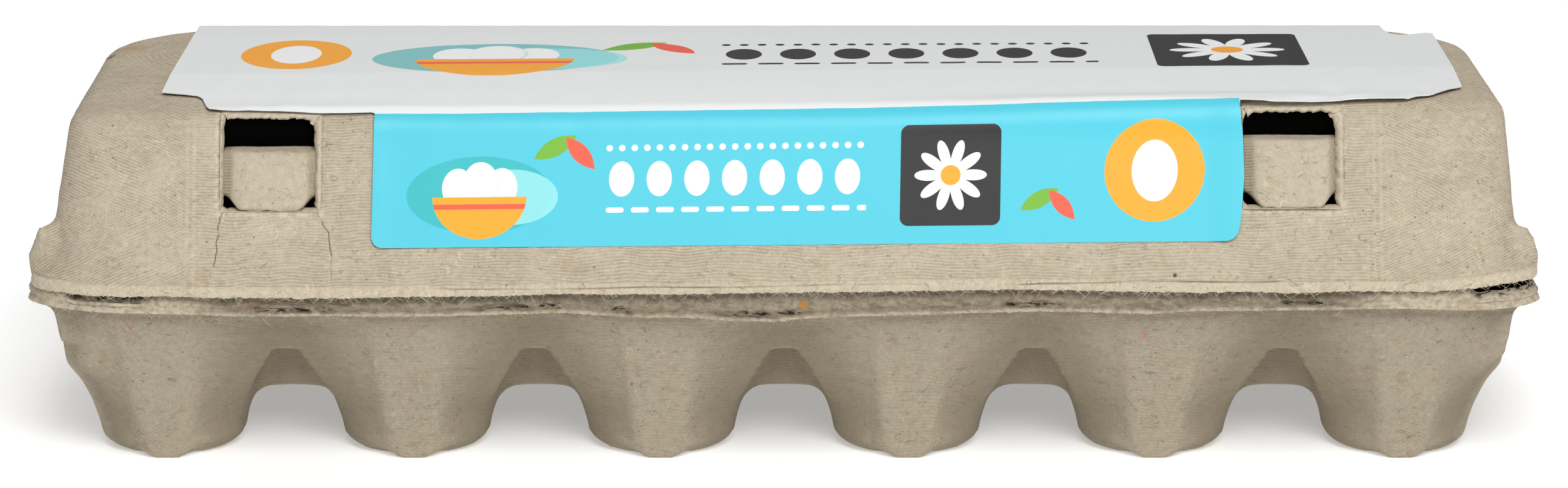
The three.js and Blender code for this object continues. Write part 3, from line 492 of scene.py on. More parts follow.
def edge_path(outline):
    """Points and outward directions round a rounded outline: half length, front and back reach."""
    half, front, back = outline
    wide, deep = EDGE_CORNER
    path = []
    for turn, (sx, reach) in enumerate(((1, -front), (1, back), (-1, back), (-1, -front))):
        sy = 1 if reach > 0 else -1
        steps = [math.pi / 2 * k / 40 for k in range(41)]
        arc = [
            (sx * (half - wide + wide * math.cos(t)), reach - sy * (deep - deep * math.sin(t)))
            for t in steps]
        path += arc if turn % 2 else arc[::-1]
    points = [Vector(path[0])]
    for target in path[1:] + path[:1]:
        target = Vector(target)
        gap = (target - points[-1]).length
        for k in range(1, int(gap / EDGE_STEP) + 1):
            points.append(points[-1] + (target - points[-1]).normalized() * EDGE_STEP)
    points = np.array([tuple(p) for p in points[:-1]])
    ahead = np.roll(points, -1, axis=0) - np.roll(points, 1, axis=0)
    ahead /= np.linalg.norm(ahead, axis=1)[:, None]
    return points, np.column_stack([ahead[:, 1], -ahead[:, 0]])


def swept_edge(name, outline, section):
    """A ring swept round an outline: section gives each corner's reach out and height, as arrays."""
    points, out = edge_path(outline)
    zero = np.zeros(len(points))
    return swept_ring(name, [
        np.column_stack([points + out * (zero + reach)[:, None], zero + height])
        for reach, height in section(points)])


def faced_outwards(piece):
    """Turns all the faces of a piece the same way, outwards where it is closed."""
    alone(piece)
    bpy.ops.object.mode_set(mode="EDIT")
    bpy.ops.mesh.select_all(action="SELECT")
    bpy.ops.mesh.normals_make_consistent(inside=False)
    bpy.ops.object.mode_set(mode="OBJECT")


def swept_ring(name, loops):
    """A closed ring between loops of equally many points, in millimetres."""
    count, sides = len(loops[0]), len(loops)
    place = np.clip(np.concatenate(loops), (-MOST_X, -MOST_Y, 0), (MOST_X, MOST_Y, 80)) * MM
    faces = []
    for side in range(sides):
        beside = (side + 1) % sides
        for k in range(count):
            ahead = (k + 1) % count
            faces.append((side * count + k, side * count + ahead, beside * count + ahead, beside * count + k))
    mesh = bpy.data.meshes.new(name)
    mesh.from_pydata(place.tolist(), [], faces)
    piece = placed(name, mesh)
    faced_outwards(piece)
    bpy.ops.object.shade_smooth_by_angle(angle=math.radians(75))
    return piece


def along(points, scale, seed):
    """Noise along an edge, from -1 to 1."""
    return uneven(np.column_stack([points, np.zeros(len(points))]), scale, seed)


def round_edge(points, front_height, elsewhere):
    """A height that follows the front's curve and settles to one value round the sides and back."""
    return elsewhere + rise(-points[:, 1], 30, 46) * (front_height(points[:, 0]) - elsewhere)


TORN_STRETCHES = ((-94.6, 10), (-50.2, 10), (-31.3, 2.5), (-4.4, 10), (48, 7), (99.9, 6.5))


def torn_open(points):
    """1 where the flange's layers have come apart, along the front."""
    gape = np.zeros(len(points))
    for middle, half in TORN_STRETCHES:
        gape = np.maximum(gape, 1 - rise(np.abs(points[:, 0] - middle), half * 0.6, half))
    return gape * (points[:, 1] < -45)


def end_gaps(x):
    """1 where the lid stands clear of the tray: near the left end, and at the right end."""
    left = rise(-x, 119, 124) * (1 - rise(-x, 136, 139))
    return left, rise(x, 130, 133)


def near_ends(x):
    """1 towards both ends, where the roll is fuller and calmer, and painted paler as painted light."""
    return rise(np.abs(x), 104, 117)


def lip_fringe(points):
    """The corners of the fringe's section: how far out, and how high."""
    edge = round_edge(points, lip_height, LIP_ELSEWHERE)
    fray = 0.12 + 0.26 * np.abs(along(points, 0.5, 31)) + 0.3 * np.abs(along(points, 1.4, 32))
    fray += 0.3 * np.abs(along(points, 2.7, 30))
    wave = 0.05 * along(points, 0.5, 33)
    return [(-1.6, edge + 0.6), (-0.95, edge + 1.9), (-0.5 + wave, edge + 1.75), (-0.12 + wave, edge + 1.0),
            (-0.04 + wave, edge + 0.25), (-0.14 + wave, edge - fray), (-0.5 + wave, edge - fray * 0.8),
            (-1.2, edge + 0.2)]


def flange_roll(points):
    """The corners of the roll's section, from its top down to the hem and back inside."""
    lip = round_edge(points, lip_height, LIP_ELSEWHERE)
    hem = round_edge(points, hem_height, HEM_ELSEWHERE)
    in_front = points[:, 1] < -30
    gap_left, gap_right = (gap * in_front for gap in end_gaps(points[:, 0]))
    top = lip + 0.35 - (1.25 + 0.35 * along(points, 0.9, 42)) * gap_left
    top = top + gap_right * (np.minimum(38.15 + 0.25 * along(points, 0.4, 36), top) - top)
    flush = 0.65 * rise(-points[:, 0], 134, 140) * in_front
    bulge = 0.75 * near_ends(points[:, 0])
    wave = 0.2 * along(points, 0.1, 34) + 0.12 * along(points, 0.5, 35)
    parted = 0.5 + 0.9 * along(points, 0.45, 37) + 0.5 * along(points, 1.3, 43)
    gape = torn_open(points) * np.clip(parted, 0, 1)
    rough = 0.14 * along(points, 1.5, 41) + 0.12 * along(points, 0.5, 44)
    ledge = 0.3 * along(points, 0.3, 45) + 0.15 * along(points, 1.1, 46)
    fray = 0.1 + 0.25 * np.abs(along(points, 0.6, 38)) + 0.3 * np.abs(along(points, 1.8, 39))
    calm = 1 - 0.7 * near_ends(points[:, 0])
    soft = calm * (0.28 * along(points, 0.7, 47) + 0.12 * along(points, 1.9, 48))
    limp = calm * (0.3 * along(points, 0.55, 49) + 0.15 * along(points, 1.6, 50))
    ledge, rough, fray = ledge * calm, rough * calm, fray * calm
    return [(-1.8, top - 0.2), (-1.1 + flush, top), (-0.95 + wave + flush, top - 0.6),
            (-0.75 + wave + soft + flush * 0.5 + bulge, top - 1.3 + limp),
            (-0.35 + wave + limp * 0.8 + bulge * 0.8, hem * 0.45 + top * 0.55 - 0.4 + ledge + soft),
            (-0.1 + wave + rough + soft + bulge * 0.5, hem + 1.75 + rough + ledge),
            (0.0 + wave - gape * 0.9, hem + 1.05 + rough + ledge * 0.6),
            (0.05 + wave - gape, hem + 0.8 + ledge * 0.6),
            (0.4 + wave + rough * 0.5, hem + 0.5 + rough + ledge * 0.5),
            (0.7 + wave * 0.5, hem + 0.25 + rough), (0.66 + wave * 0.5, hem - fray),
            (0.1, hem - fray * 0.3), (-1.8, hem + 0.5)]


def roll_marks(finish, place, xyz, colour, height):
    """The rolled layer: brown, paler at the hem, painted light towards its ends, painted black as shade where
    it is torn open and in the end gaps, with one orange speck.
    """
    x, y, z = xyz
    inside = finish.mark("inside")
    pale_and_lit = finish.mark("pale_and_lit")
    flecked = finish.grain(place, 900, 3).ramp(0.35, 0.6) * 0.5 + 0.5
    # Painted light towards the ends, where the roll stands out lit from under the lip; the hem is paler where
    # it is torn.
    colour = finish.painted(colour, (0.52, 0.45, 0.34), pale_and_lit * flecked)
    strands = finish.grain(finish.moved(place, stretch=(0.6, 1, 2.2)), 520, 4, 0.9)
    colour = finish.painted(colour, (0.13, 0.10, 0.066), strands.ramp(0.48, 0.64) * (0.6 - pale_and_lit * 0.5))
    # Painted shade: black in the holes where the layers are torn open, and in the gaps at the ends.
    opened = inside * finish.grain(finish.moved(place, stretch=(0.5, 1, 1.8)), 640, 4, 0.9).ramp(0.5, 0.56)
    colour = finish.painted(colour, (0.018, 0.013, 0.01), opened)
    rusty = finish.grain(finish.moved(place, (0.1, 0.5, 0), (0.5, 1, 1)), 190, 2).ramp(0.6, 0.68)
    colour = finish.painted(colour, (0.26, 0.155, 0.075), rusty * 0.35)
    dx, dz = x - 3.7 * MM, z - 36.0 * MM
    speck = 1 - (dx * dx + dz * dz).sqrt().ramp(0.5 * MM, 0.95 * MM)
    colour = finish.painted(colour, (0.42, 0.20, 0.03), speck * (1 - y.ramp(-0.05, -0.048)) * 0.85)
    return colour, height + strands * 0.5 - opened * 1.2


TORN_LIGHT = (0.60, 0.525, 0.40)
TORN_DARK = (0.42, 0.36, 0.265)
# Painted shade: the roll's colours are darkened for the shadow that the lip casts on it.
ROLL_SHADED_LIGHT = (0.30, 0.252, 0.185)
ROLL_SHADED_DARK = (0.18, 0.148, 0.103)
TORN_STRIP = (0, 0, 0, 0, 0, 0.1, 0.9, 1, 0.2, 0, 0, 0, 0)
GAP_STRIP = (1, 1, 0.8, 0, 0, 0, 0, 0, 0, 0, 0, 0, 0)
HEM_STRIP = (0, 0, 0, 0.15, 0.25, 0.2, 0, 0, 0.2, 0.6, 0.7, 0.3, 0)
fringe = swept_edge("lip_fringe", LIP_OUTLINE, lip_fringe)
fringe.data.materials.append(pulp("torn_pulp", TORN_LIGHT, TORN_DARK, 0, fold_line))
roll = swept_edge("flange_roll", FLANGE_OUTLINE, flange_roll)
place, _ = points_of(roll)
at_torn, at_gap, at_hem = (
    np.repeat(strip, len(place) // len(strip)) for strip in (TORN_STRIP, GAP_STRIP, HEM_STRIP))
# Painted shade: the gaps at the ends and the torn-open layers are marked to be painted black.
gaps = sum(end_gaps(place[:, 0] / MM)) * at_gap * (place[:, 1] < 0)
marked(roll, "inside", np.maximum(torn_open(place / MM) * at_torn, gaps))
# Partly painted light: the ends are marked paler where the roll is lit, the hem where it is torn.
marked(roll, "pale_and_lit", np.maximum(at_hem, 0.95 * near_ends(place[:, 0] / MM)))
roll.data.materials.append(pulp("roll_pulp", ROLL_SHADED_LIGHT, ROLL_SHADED_DARK, 0, roll_marks))
for torn, slot in ((fringe, "lid"), (roll, "tray")):
    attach(torn, "root")

# The torn linings of the two windows: a ragged rim of pulp just inside each cut, wider along its top
# and its right side.
LINING_STEP = 0.35
LINING_WIDTHS = {"left": (0.25, 1.0, 0.95, 0.5), "right": (0.25, 1.1, 0.95, 0.12)}
LINING_SECTION = (
    (-0.7, 1.0), (-0.12, -0.06), (0.1, -0.08), (0.55, 0.45), (1.0, 1.3), (0.9, 2.3), (-0.7, 2.3))
CORNER_FILL = {"left": (0.3, 1.5), "right": (1.3, 1.5)}
SHOULDER_RADIUS = 5.0
SHOULDER_FOOT_Z = 68.35
SHOULDER_FOOT_Y = -42.03
FRONT_LEAN = math.radians(20.5)
LID_END_X, LID_END_RISE = 141.5, 1.3
LID_FOLD_Z, LID_FRONT_TOP = 42.5, 71.6


def risen(z):
    """How far up the lid's front a height is, 0 to 1; the right end rises in proportion."""
    return np.clip((z - LID_FOLD_Z) / (LID_FRONT_TOP - LID_FOLD_Z), 0, 1)


def wall_face(x, z):
    """How far forward the lid's front wall or shoulder lies at a place, in millimetres."""
    level = z - LID_END_RISE * x / LID_END_X * risen(z)
    foot = math.sin(FRONT_LEAN)
    climb = np.clip(foot + (level - SHOULDER_FOOT_Z) / SHOULDER_RADIUS, foot, 1)
    straight = WALL_FOOT_Y / MM + (level - WALL_FOOT_Z / MM) * WALL_SLOPE
    bend = SHOULDER_FOOT_Y + SHOULDER_RADIUS * (math.cos(FRONT_LEAN) - np.sqrt(1 - climb ** 2))
    return np.where(level < SHOULDER_FOOT_Z, straight, bend)


for side, (middle, low, high) in zip(("left", "right"), WINDOWS):
    middle, low, high = middle / MM, low / MM, high / MM
    half = WINDOW_HALF / MM
    runs = (((-half, low), (half, low)), ((half, low), (half, high)),
            ((half, high), (-half, high)), ((-half, high), (-half, low)))
    rim, inward, width = [], [], []
    for ((xa, za), (xb, zb)), wide in zip(runs, LINING_WIDTHS[side]):
        steps = round(math.hypot(xb - xa, zb - za) / LINING_STEP)
        for k in range(steps):
            rim.append((xa + (xb - xa) * k / steps, za + (zb - za) * k / steps))
            inward.append((-(zb - za), xb - xa))
            width.append(wide)
    rim, inward, width = np.array(rim), np.array(inward, float), np.array(width)
    inward = sum(np.roll(inward, k, axis=0) for k in (-2, -1, 0, 1, 2))
    inward /= np.linalg.norm(inward, axis=1)[:, None]
    width = sum(np.roll(width, k) for k in range(-3, 4)) / 7
    filled = width.copy()
    for end, fill in zip((-half, half), CORNER_FILL[side]):
        filled += fill * np.exp(-(np.hypot(rim[:, 0] - end, rim[:, 1] - high) / 1.5) ** 2)
    torn_at = np.column_stack([rim, rim[:, 0] * 0 + middle])
    torn = uneven(torn_at, 0.9, 51) * 0.3
    torn += uneven(torn_at, 2.6, 52) * 0.16
    loops = []
    for across, depth in LINING_SECTION:
        reach = across * (filled if across > 0 else width) + torn * width * (across > 0.3)
        at = rim + inward * reach[:, None]
        at_x = at[:, 0] + middle
        loops.append(np.column_stack([at_x, wall_face(at_x, at[:, 1]) + depth, at[:, 1]]))
    lining = swept_ring("window_lining_" + side, loops)
    lining.data.materials.append(fringe.data.materials[0])
    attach(lining, "root")

# The single fibres that stand out of the torn edges, at the lip and under the flange.
FIBRE_COUNT = 1600
FIBRE_SIDES = 3
chance = np.random.default_rng(12)
corners, quads = [], []
for outline, front_height, elsewhere, share in (
        (LIP_OUTLINE, lip_height, LIP_ELSEWHERE, 0.7), (FLANGE_OUTLINE, hem_height, HEM_ELSEWHERE, 0.3)):
    points, out = edge_path(outline)
    front_first = np.where(points[:, 1] < -30, 1.0, 0.3)
    picks = chance.choice(len(points), int(FIBRE_COUNT * share), p=front_first / front_first.sum())
    heights = round_edge(points, front_height, elsewhere)
    for k in picks:
        foot = points[k] - out[k] * chance.uniform(0.15, 0.5)
        start = Vector((*foot, heights[k] + chance.uniform(-0.25, 0.15)))
        sideways = Vector((-out[k][1], out[k][0], 0)) * chance.choice((-1, 1))
        heading = (sideways * chance.uniform(0.2, 1.2) + Vector((*out[k], 0)) * chance.uniform(-0.2, 0.25)
                   + Vector((0, 0, -1)) * chance.uniform(0.25, 1.0)).normalized()
        curl = Vector(chance.normal(0, 0.35, 3))
        reach, thick = chance.uniform(0.6, 2.5), chance.uniform(0.025, 0.06)
        base = len(corners)
        for step in range(5):
            t = step / 4
            middle = start + heading * reach * t + curl * reach * t * t * 0.5
            middle.x = min(max(middle.x, -MOST_X + 0.05), MOST_X - 0.05)
            middle.y = min(max(middle.y, -MOST_Y + 0.05), MOST_Y - 0.05)
            for side in range(FIBRE_SIDES):
                angle = 2 * math.pi * side / FIBRE_SIDES
                around = Vector((math.cos(angle) * 0.4, math.cos(angle) * 0.9, math.sin(angle)))
                corners.append((middle + around * thick * (1 - 0.6 * t)) * MM)
        for step in range(4):
            for side in range(FIBRE_SIDES):
                a, b = base + step * FIBRE_SIDES + side, base + step * FIBRE_SIDES + (side + 1) % FIBRE_SIDES
                quads.append((a, b, b + FIBRE_SIDES, a + FIBRE_SIDES))
        quads.append((base, base + 2, base + 1))
        quads.append((base + 12, base + 13, base + 14))
fibre_mesh = bpy.data.meshes.new("torn_fibres")
fibre_mesh.from_pydata(corners, [], quads)
fibres = placed("torn_fibres", fibre_mesh)
faced_outwards(fibres)
fibre_finish = Finish("fibre")
fibre_place = fibre_finish.node("ShaderNodeTexCoord", output=3)
darker = fibre_finish.grain(fibre_place, 300, 2).ramp(0.4, 0.6)
fibre_finish.surfaced(
    Base_Color=fibre_finish.painted((0.74, 0.66, 0.52), (0.5, 0.42, 0.3), darker), Roughness=0.8)
fibres.data.materials.append(fibre_finish.material)
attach(fibres, "root")

# The two knobs of the locking flap. The flap is folded up behind the lid's front wall, and each knob
# swells out through its window to hold the lid shut.
KNOB_GRAIN = 0.4 * MM
COMB_PITCH = 0.75 * MM
KNOB_LIGHT = (0.53, 0.461, 0.353)
KNOB_DARK = (0.41, 0.357, 0.27)


def knob_marks(finish, place, xyz, colour, height):
    """The knob's sloping sides, combed by the mould and darkened as painted shade, and painted black as shade
    under its lower corners.
    """
    x, y, z = xyz
    slope = finish.mark("slope")
    depth = finish.mark("depth")
    combed = ((z + x * 0.25 + y) * (2 * math.pi / COMB_PITCH)).sin()
    shade = slope * (combed * -0.5 + 0.5).ramp(0.2, 0.9)
    # Painted shade on the sloping sides, stronger in the comb's grooves.
    colour = finish.painted(colour, (0.23, 0.19, 0.135), slope * 0.3 + shade * 0.3)
    # Painted shade: black in the deep hollows under the lower corners.
    colour = finish.painted(colour, (0.01, 0.008, 0.006), depth.ramp(0.35, 0.7))
    return colour, height + combed * slope * 0.6


knob_pulp = pulp("latch_knob_pulp", KNOB_LIGHT, KNOB_DARK, 0, knob_marks)
for side in ("left", "right"):
    knob = moulded_copy("latch_knob_" + side, "knob_pulp_" + side, KNOB_GRAIN, 7)
    place, normal = points_of(knob)
    place += normal * (0.14 * MM * uneven(place, 160, 8) + 0.05 * MM * uneven(place, 600, 9))[:, None]
    low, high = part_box("latch_knob_" + side)
    centre = (low.x + high.x) / 2
    aside = np.abs(place[:, 0] - centre) / MM
    up = (place[:, 2] - low.z) / MM
    ahead = rise(-normal[:, 1], -0.3, 0.2)
    corner = rise(aside + (2.2 - up).clip(0) * 0.9, 7.0, 9.0) * (1 - rise(up, 0.8, 3.0))
    sill = (1 - rise(up, 0, 3.4)) * (1 - rise(aside, 5.5, 8.4))
    slope = rise(aside, 6.2, 9.0)
    place[:, 1] += ahead * (4.5 * corner - 1.1 * slope - 2.9 * sill) * MM
    place[:, 2] += (1 - rise(up, 0.3, 1.8)) * 0.3 * MM * uneven(place, 900, 12)
    # Marks for painted shade: the sloping sides, and the deep lower corners.
    marked(knob, "slope", rise(aside, 6.4, 7.8))
    marked(knob, "depth", corner)
    place[:, 0] = centre + (place[:, 0] - centre) * 1.04
    place[:, 2] = high.z - (high.z - place[:, 2]) * 1.03
    set_points(knob, place)
    knob.data.materials.append(knob_pulp)
    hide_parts("latch_knob_" + side)
    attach(knob, "root")

# The hinge. A bead of pulp along the back, where the lid was folded over on to the tray; the fold
# has crushed and creased it.
HINGE_GRAIN = 0.5 * MM
hinge = moulded_copy("hinge", "hinge_pulp", HINGE_GRAIN, 4)
place, normal = points_of(hinge)
creased = 0.14 * MM * uneven(place * [1, 1, 6], 120, 10) + 0.06 * MM * uneven(place, 500, 11)
place += normal * (creased - 0.12 * MM)[:, None]
set_points(hinge, place)
hinge.data.materials.append(pulp("hinge_pulp", LID_DARK, TRAY_DARK, 0))
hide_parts("hinge")
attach(hinge, "root")

# The label. One sheet of coated paper, printed, die-cut and glued over the lid: a white panel on the
# top, creased over the front edge into a blue tab that hangs down the front wall between the latch
# windows. It is slightly wrinkled along the crease and stands off the lid at its ends.
SHEET_CELL = 0.85
SHEET_LIFT = 0.4
SHEET_THICKNESS = 0.16
SHEET_SIZE, SHEET_MIDDLE = (253.2, 99.8), (5.2, 23.7)
PRINT_SPAN, PRINT_ORIGIN = (270.0, 110.0), (130.0, 30.0)
CREASE_ANGLE = math.radians(53)
BACK_LEAN = math.radians(28)
WALL_TOP_Z = LID_FRONT_TOP - SHOULDER_RADIUS * (1 - math.sin(FRONT_LEAN))
WALL_TOP = (WALL_FOOT_Y / MM + (WALL_TOP_Z - WALL_FOOT_Z / MM) * WALL_SLOPE, WALL_TOP_Z)
LID_TOP_LINE = ((-28.0, 71.95), (-14.9, 72.27), (10.6, 71.27), (19.8, 70.95))
BACK_RADIUS, BACK_MIDDLE = 14, (26.44, 56.6)
LABEL_OUTLINE = (
    (-79.0, -26.2), (-79.0, 0.5), (-84.0, 0.35), (-90.2, 0.45), (-100.3, 1.2), (-108.7, 1.65), (-111.0, 2.2),
    (-111.6, 3.2), (-112.3, 6.1), (-113.0, 8.9), (-114.2, 10.8), (-121.4, 13.1), (-120.4, 73.6),
    (121.2, 73.6), (121.7, 62.3), (122.4, 58.0), (124.5, 56.4), (131.2, 59.2), (130.6, 9.1),
    (124.3, 2.6), (118.5, -0.1), (110.5, -0.2), (101.0, -0.9), (93.0, -1.0), (88.5, -0.5),
    (86.4, -0.4), (87.2, -6.0), (87.6, -14.0), (87.2, -21.0), (86.5, -26.2),
)
TAB_ROUND = 2.2
LABEL_TURN = 0.0068
LABEL_RAISED = 0.35


def rounded(outline, corners, radius):
    """The outline with the given corners replaced by short arcs."""
    result = []
    for i, point in enumerate(outline):
        if i not in corners:
            result.append(point)
            continue
        here = Vector(point)
        before = (Vector(outline[i - 1]) - here).normalized() * radius
        after = (Vector(outline[(i + 1) % len(outline)]) - here).normalized() * radius
        for step in range(7):
            t = step / 6 * math.pi / 2
            result.append(tuple(here + before * (1 - math.sin(t)) + after * (1 - math.cos(t))))
    return result


def inside_outline(points, outline):
    """Whether each point lies in the outline, by counting the edges to its right."""
    result = np.zeros(len(points), bool)
    for (xa, ya), (xb, yb) in zip(outline, outline[1:] + outline[:1]):
        if ya == yb:
            continue
        crosses = (ya > points[:, 1]) != (yb > points[:, 1])
        at = xa + (points[:, 1] - ya) / (yb - ya) * (xb - xa)
        result ^= crosses & (points[:, 0] < at)
    return result


def to_outline(points, outline):
    """The nearest point of the outline to each point."""
    best = np.full(len(points), 1e9)
    nearest = points.copy()
    for a, b in zip(outline, outline[1:] + outline[:1]):
        a, b = np.array(a), np.array(b)
        t = np.clip(((points - a) @ (b - a)) / max((b - a) @ (b - a), 1e-9), 0, 1)
        foot = a + t[:, None] * (b - a)
        away = np.linalg.norm(points - foot, axis=1)
        closer = away < best
        best[closer] = away[closer]
        nearest[closer] = foot[closer]
    return nearest


columns, rows = (round(side / SHEET_CELL) for side in SHEET_SIZE)
bpy.ops.mesh.primitive_grid_add(x_subdivisions=columns, y_subdivisions=rows, size=1)
label = bpy.context.object
label.name = label.data.name = "label_sheet"
place, _ = points_of(label)
flat = place[:, :2] * SHEET_SIZE + SHEET_MIDDLE
place = np.column_stack([flat, np.zeros(len(flat))])
set_points(label, place)
outline = rounded(list(LABEL_OUTLINE), {0, len(LABEL_OUTLINE) - 1}, TAB_ROUND)
centres = np.array([p.center[:2] for p in label.data.polygons])
outer = ~inside_outline(centres, outline)
alone(label)
bpy.ops.object.mode_set(mode="EDIT")
bpy.ops.mesh.select_all(action="DESELECT")
bpy.ops.object.mode_set(mode="OBJECT")
label.data.polygons.foreach_set("select", outer)
bpy.ops.object.mode_set(mode="EDIT")
bpy.ops.mesh.select_mode(type="FACE")
bpy.ops.mesh.delete(type="FACE")
bpy.ops.mesh.select_all(action="SELECT")
bpy.ops.mesh.region_to_loop()
bpy.ops.object.mode_set(mode="OBJECT")
place, _ = points_of(label)
edge = np.zeros(len(place), bool)
label.data.vertices.foreach_get("select", edge)
place[edge, :2] = to_outline(place[edge, :2], outline)
flat = place[:, :2].copy()
set_points(label, place)

profile = [(WALL_TOP[0] - 40 * WALL_SLOPE, WALL_TOP[1] - 40), WALL_TOP]
for step in range(1, 15):
    angle = FRONT_LEAN + (math.pi / 2 - FRONT_LEAN) * step / 14
    profile.append((WALL_TOP[0] + SHOULDER_RADIUS * (math.cos(FRONT_LEAN) - math.cos(angle)),
                    WALL_TOP[1] + SHOULDER_RADIUS * (math.sin(angle) - math.sin(FRONT_LEAN))))
profile += LID_TOP_LINE
for step in range(15):
    angle = math.pi / 2 - (math.pi / 2 - BACK_LEAN) * step / 14
    profile.append((BACK_MIDDLE[0] + BACK_RADIUS * math.cos(angle),
                    BACK_MIDDLE[1] + BACK_RADIUS * math.sin(angle)))
profile = np.array(profile)
length = np.concatenate([[0], np.cumsum(np.linalg.norm(np.diff(profile, axis=0), axis=1))])
crease_at = length[1] + SHOULDER_RADIUS * (CREASE_ANGLE - FRONT_LEAN)
way = flat[:, 1] + crease_at + LABEL_RAISED + LABEL_TURN * (flat[:, 0] + 79)
bent_y = np.interp(way, length, profile[:, 0])
bent_z = np.interp(way, length, profile[:, 1])
ahead_y = np.interp(way + 0.4, length, profile[:, 0]) - np.interp(way - 0.4, length, profile[:, 0])
ahead_z = np.interp(way + 0.4, length, profile[:, 1]) - np.interp(way - 0.4, length, profile[:, 1])
size = np.hypot(ahead_y, ahead_z)
ripple_at = np.column_stack([flat[:, 0] * 1.6, flat[:, 1] * 0.35, np.zeros(len(flat))])
ripples = uneven(ripple_at, 0.11, 21) * 0.13 + uneven(ripple_at, 0.3, 22) * 0.05
near_crease = np.exp(-((flat[:, 1] - 7) / 8.0) ** 2)
standing_off = np.exp(-((flat[:, 1] - 0.5) / 4.0) ** 2)
at_right = rise(flat[:, 0], 5, 84) * (1 - 0.7 * rise(flat[:, 0], 90, 106))
at_left = 1 - rise(flat[:, 0], -84, -60)
tab_edges = (rise(flat[:, 0], 80, 86.4) * 0.55 + rise(-flat[:, 0], 75, 79) * 0.25) * (flat[:, 1] < 0)
at_ends = rise(flat[:, 0], 88, 112) + 0.5 * rise(-flat[:, 0], 84, 104)
end_waves = uneven(ripple_at, 0.16, 23) * at_ends * 0.45
lift = SHEET_LIFT + ripples * (0.35 + 0.65 * near_crease) + standing_off * (1.15 * at_right + 0.3 * at_left)
lift += tab_edges + (end_waves + 0.1) * rise(flat[:, 1], -2, 3) * (1 - rise(flat[:, 1], 12, 26))
bent_y += -ahead_z / size * lift
bent_z += ahead_y / size * lift
share = risen(bent_z)
front = np.clip((33 - bent_y) / 71, 0, 1)
end_rise = share * front * LID_END_RISE * flat[:, 0] / LID_END_X
place = np.column_stack([flat[:, 0] + share * 0.6, bent_y, bent_z + end_rise]) * MM
place[:, 2] = np.minimum(place[:, 2], cad_high[2] - SHEET_THICKNESS * MM)
flat_map = label.data.uv_layers.new(name="flat")
corner = np.empty(len(label.data.loops), np.int64)
label.data.loops.foreach_get("vertex_index", corner)
uv = (flat + PRINT_ORIGIN) / PRINT_SPAN
flat_map.data.foreach_set("uv", uv[corner].ravel())
label.data.uv_layers.active = flat_map
for layer in [layer for layer in label.data.uv_layers if layer.name != "flat"]:
    label.data.uv_layers.remove(layer)
set_points(label, place)
faced_outwards(label)
if label.data.polygons[len(label.data.polygons) // 2].normal.z < 0:
    label.data.flip_normals()
finished_by(label, "SOLIDIFY", thickness=SHEET_THICKNESS * MM, offset=0)
alone(label)
bpy.ops.object.shade_smooth_by_angle(angle=math.radians(40))

LABEL_WHITE = (0.745, 0.76, 0.755)
TAB_BLUE = (0.072, 0.525, 0.65)
PRINT_TEAL = (0.02, 0.42, 0.42)
PRINT_PALE = (0.30, 0.72, 0.74)
PRINT_ORANGE = (0.88, 0.36, 0.015)
PRINT_CORAL = (0.80, 0.10, 0.05)
PRINT_GREEN = (0.16, 0.42, 0.03)
PRINT_BLACK = (0.012, 0.011, 0.011)
PRINT_WHITE = (0.84, 0.85, 0.85)
INK_EDGE = 0.07


def oval(x, y, cx, cy, rx, ry):
    """How far a printed oval covers each place, 0 to 1."""
    dx, dy = (x - cx) / rx, (y - cy) / ry
    return (0.5 - ((dx * dx + dy * dy).sqrt() - 1.0) * (min(rx, ry) / INK_EDGE)).ramp(0, 1)


def plate(x, y, cx, cy, hx, hy, r):
    """A printed panel with rounded corners."""
    qx, qy = abs(x - cx) - (hx - r), abs(y - cy) - (hy - r)
    out_x, out_y = qx.over(0.0), qy.over(0.0)
    away = (out_x * out_x + out_y * out_y).sqrt() + qx.over(qy).under(0.0) - r
    return (0.5 - away / INK_EDGE).ramp(0, 1)


def leaf(x, y, cx, cy, reach, width, turn):
    """A printed leaf, pointed at both ends."""
    c, s = math.cos(turn), math.sin(turn)
    u, v = (x - cx) * c + (y - cy) * s, (y - cy) * c - (x - cx) * s
    away = abs(v) - (1.0 - u * u / (reach * reach)) * width
    return (0.5 - away / INK_EDGE).ramp(0, 1)


def flower(x, y, cx, cy, radius, petals):
    """A printed daisy's ring of petals."""
    dx, dy = x - cx, y - cy
    away = (dx * dx + dy * dy).sqrt()
    wave = abs((dy.math("ARCTAN2", dx) * (petals / 2)).math("COSINE"))
    return (0.5 - (away - (wave * 0.58 + 0.42) * radius) / INK_EDGE).ramp(0, 1)


def repeated(x, start, pitch):
    """x counted from the middle of the nearest of a row of evenly spaced motifs."""
    return (x - start).math("FLOORED_MODULO", pitch) - pitch / 2


label_finish = Finish("label_paper")
paint = label_finish.painted
flat_place = label_finish.node("ShaderNodeUVMap", {"uv_map": "flat"})
u, v, _ = label_finish.axes(flat_place)
x, y = u * PRINT_SPAN[0] - PRINT_ORIGIN[0], v * PRINT_SPAN[1] - PRINT_ORIGIN[1]
paper_place = label_finish.node("ShaderNodeTexCoord", output=3)
ragged = label_finish.grain(paper_place, 900, 2)
on_tab = (1 - (y + (ragged - 0.5) * 0.05).ramp(-0.08, 0.08)) * (1 - x.ramp(86.5, 86.7) * y.ramp(-1.5, -1.3))
ink = paint(LABEL_WHITE, TAB_BLUE, on_tab)


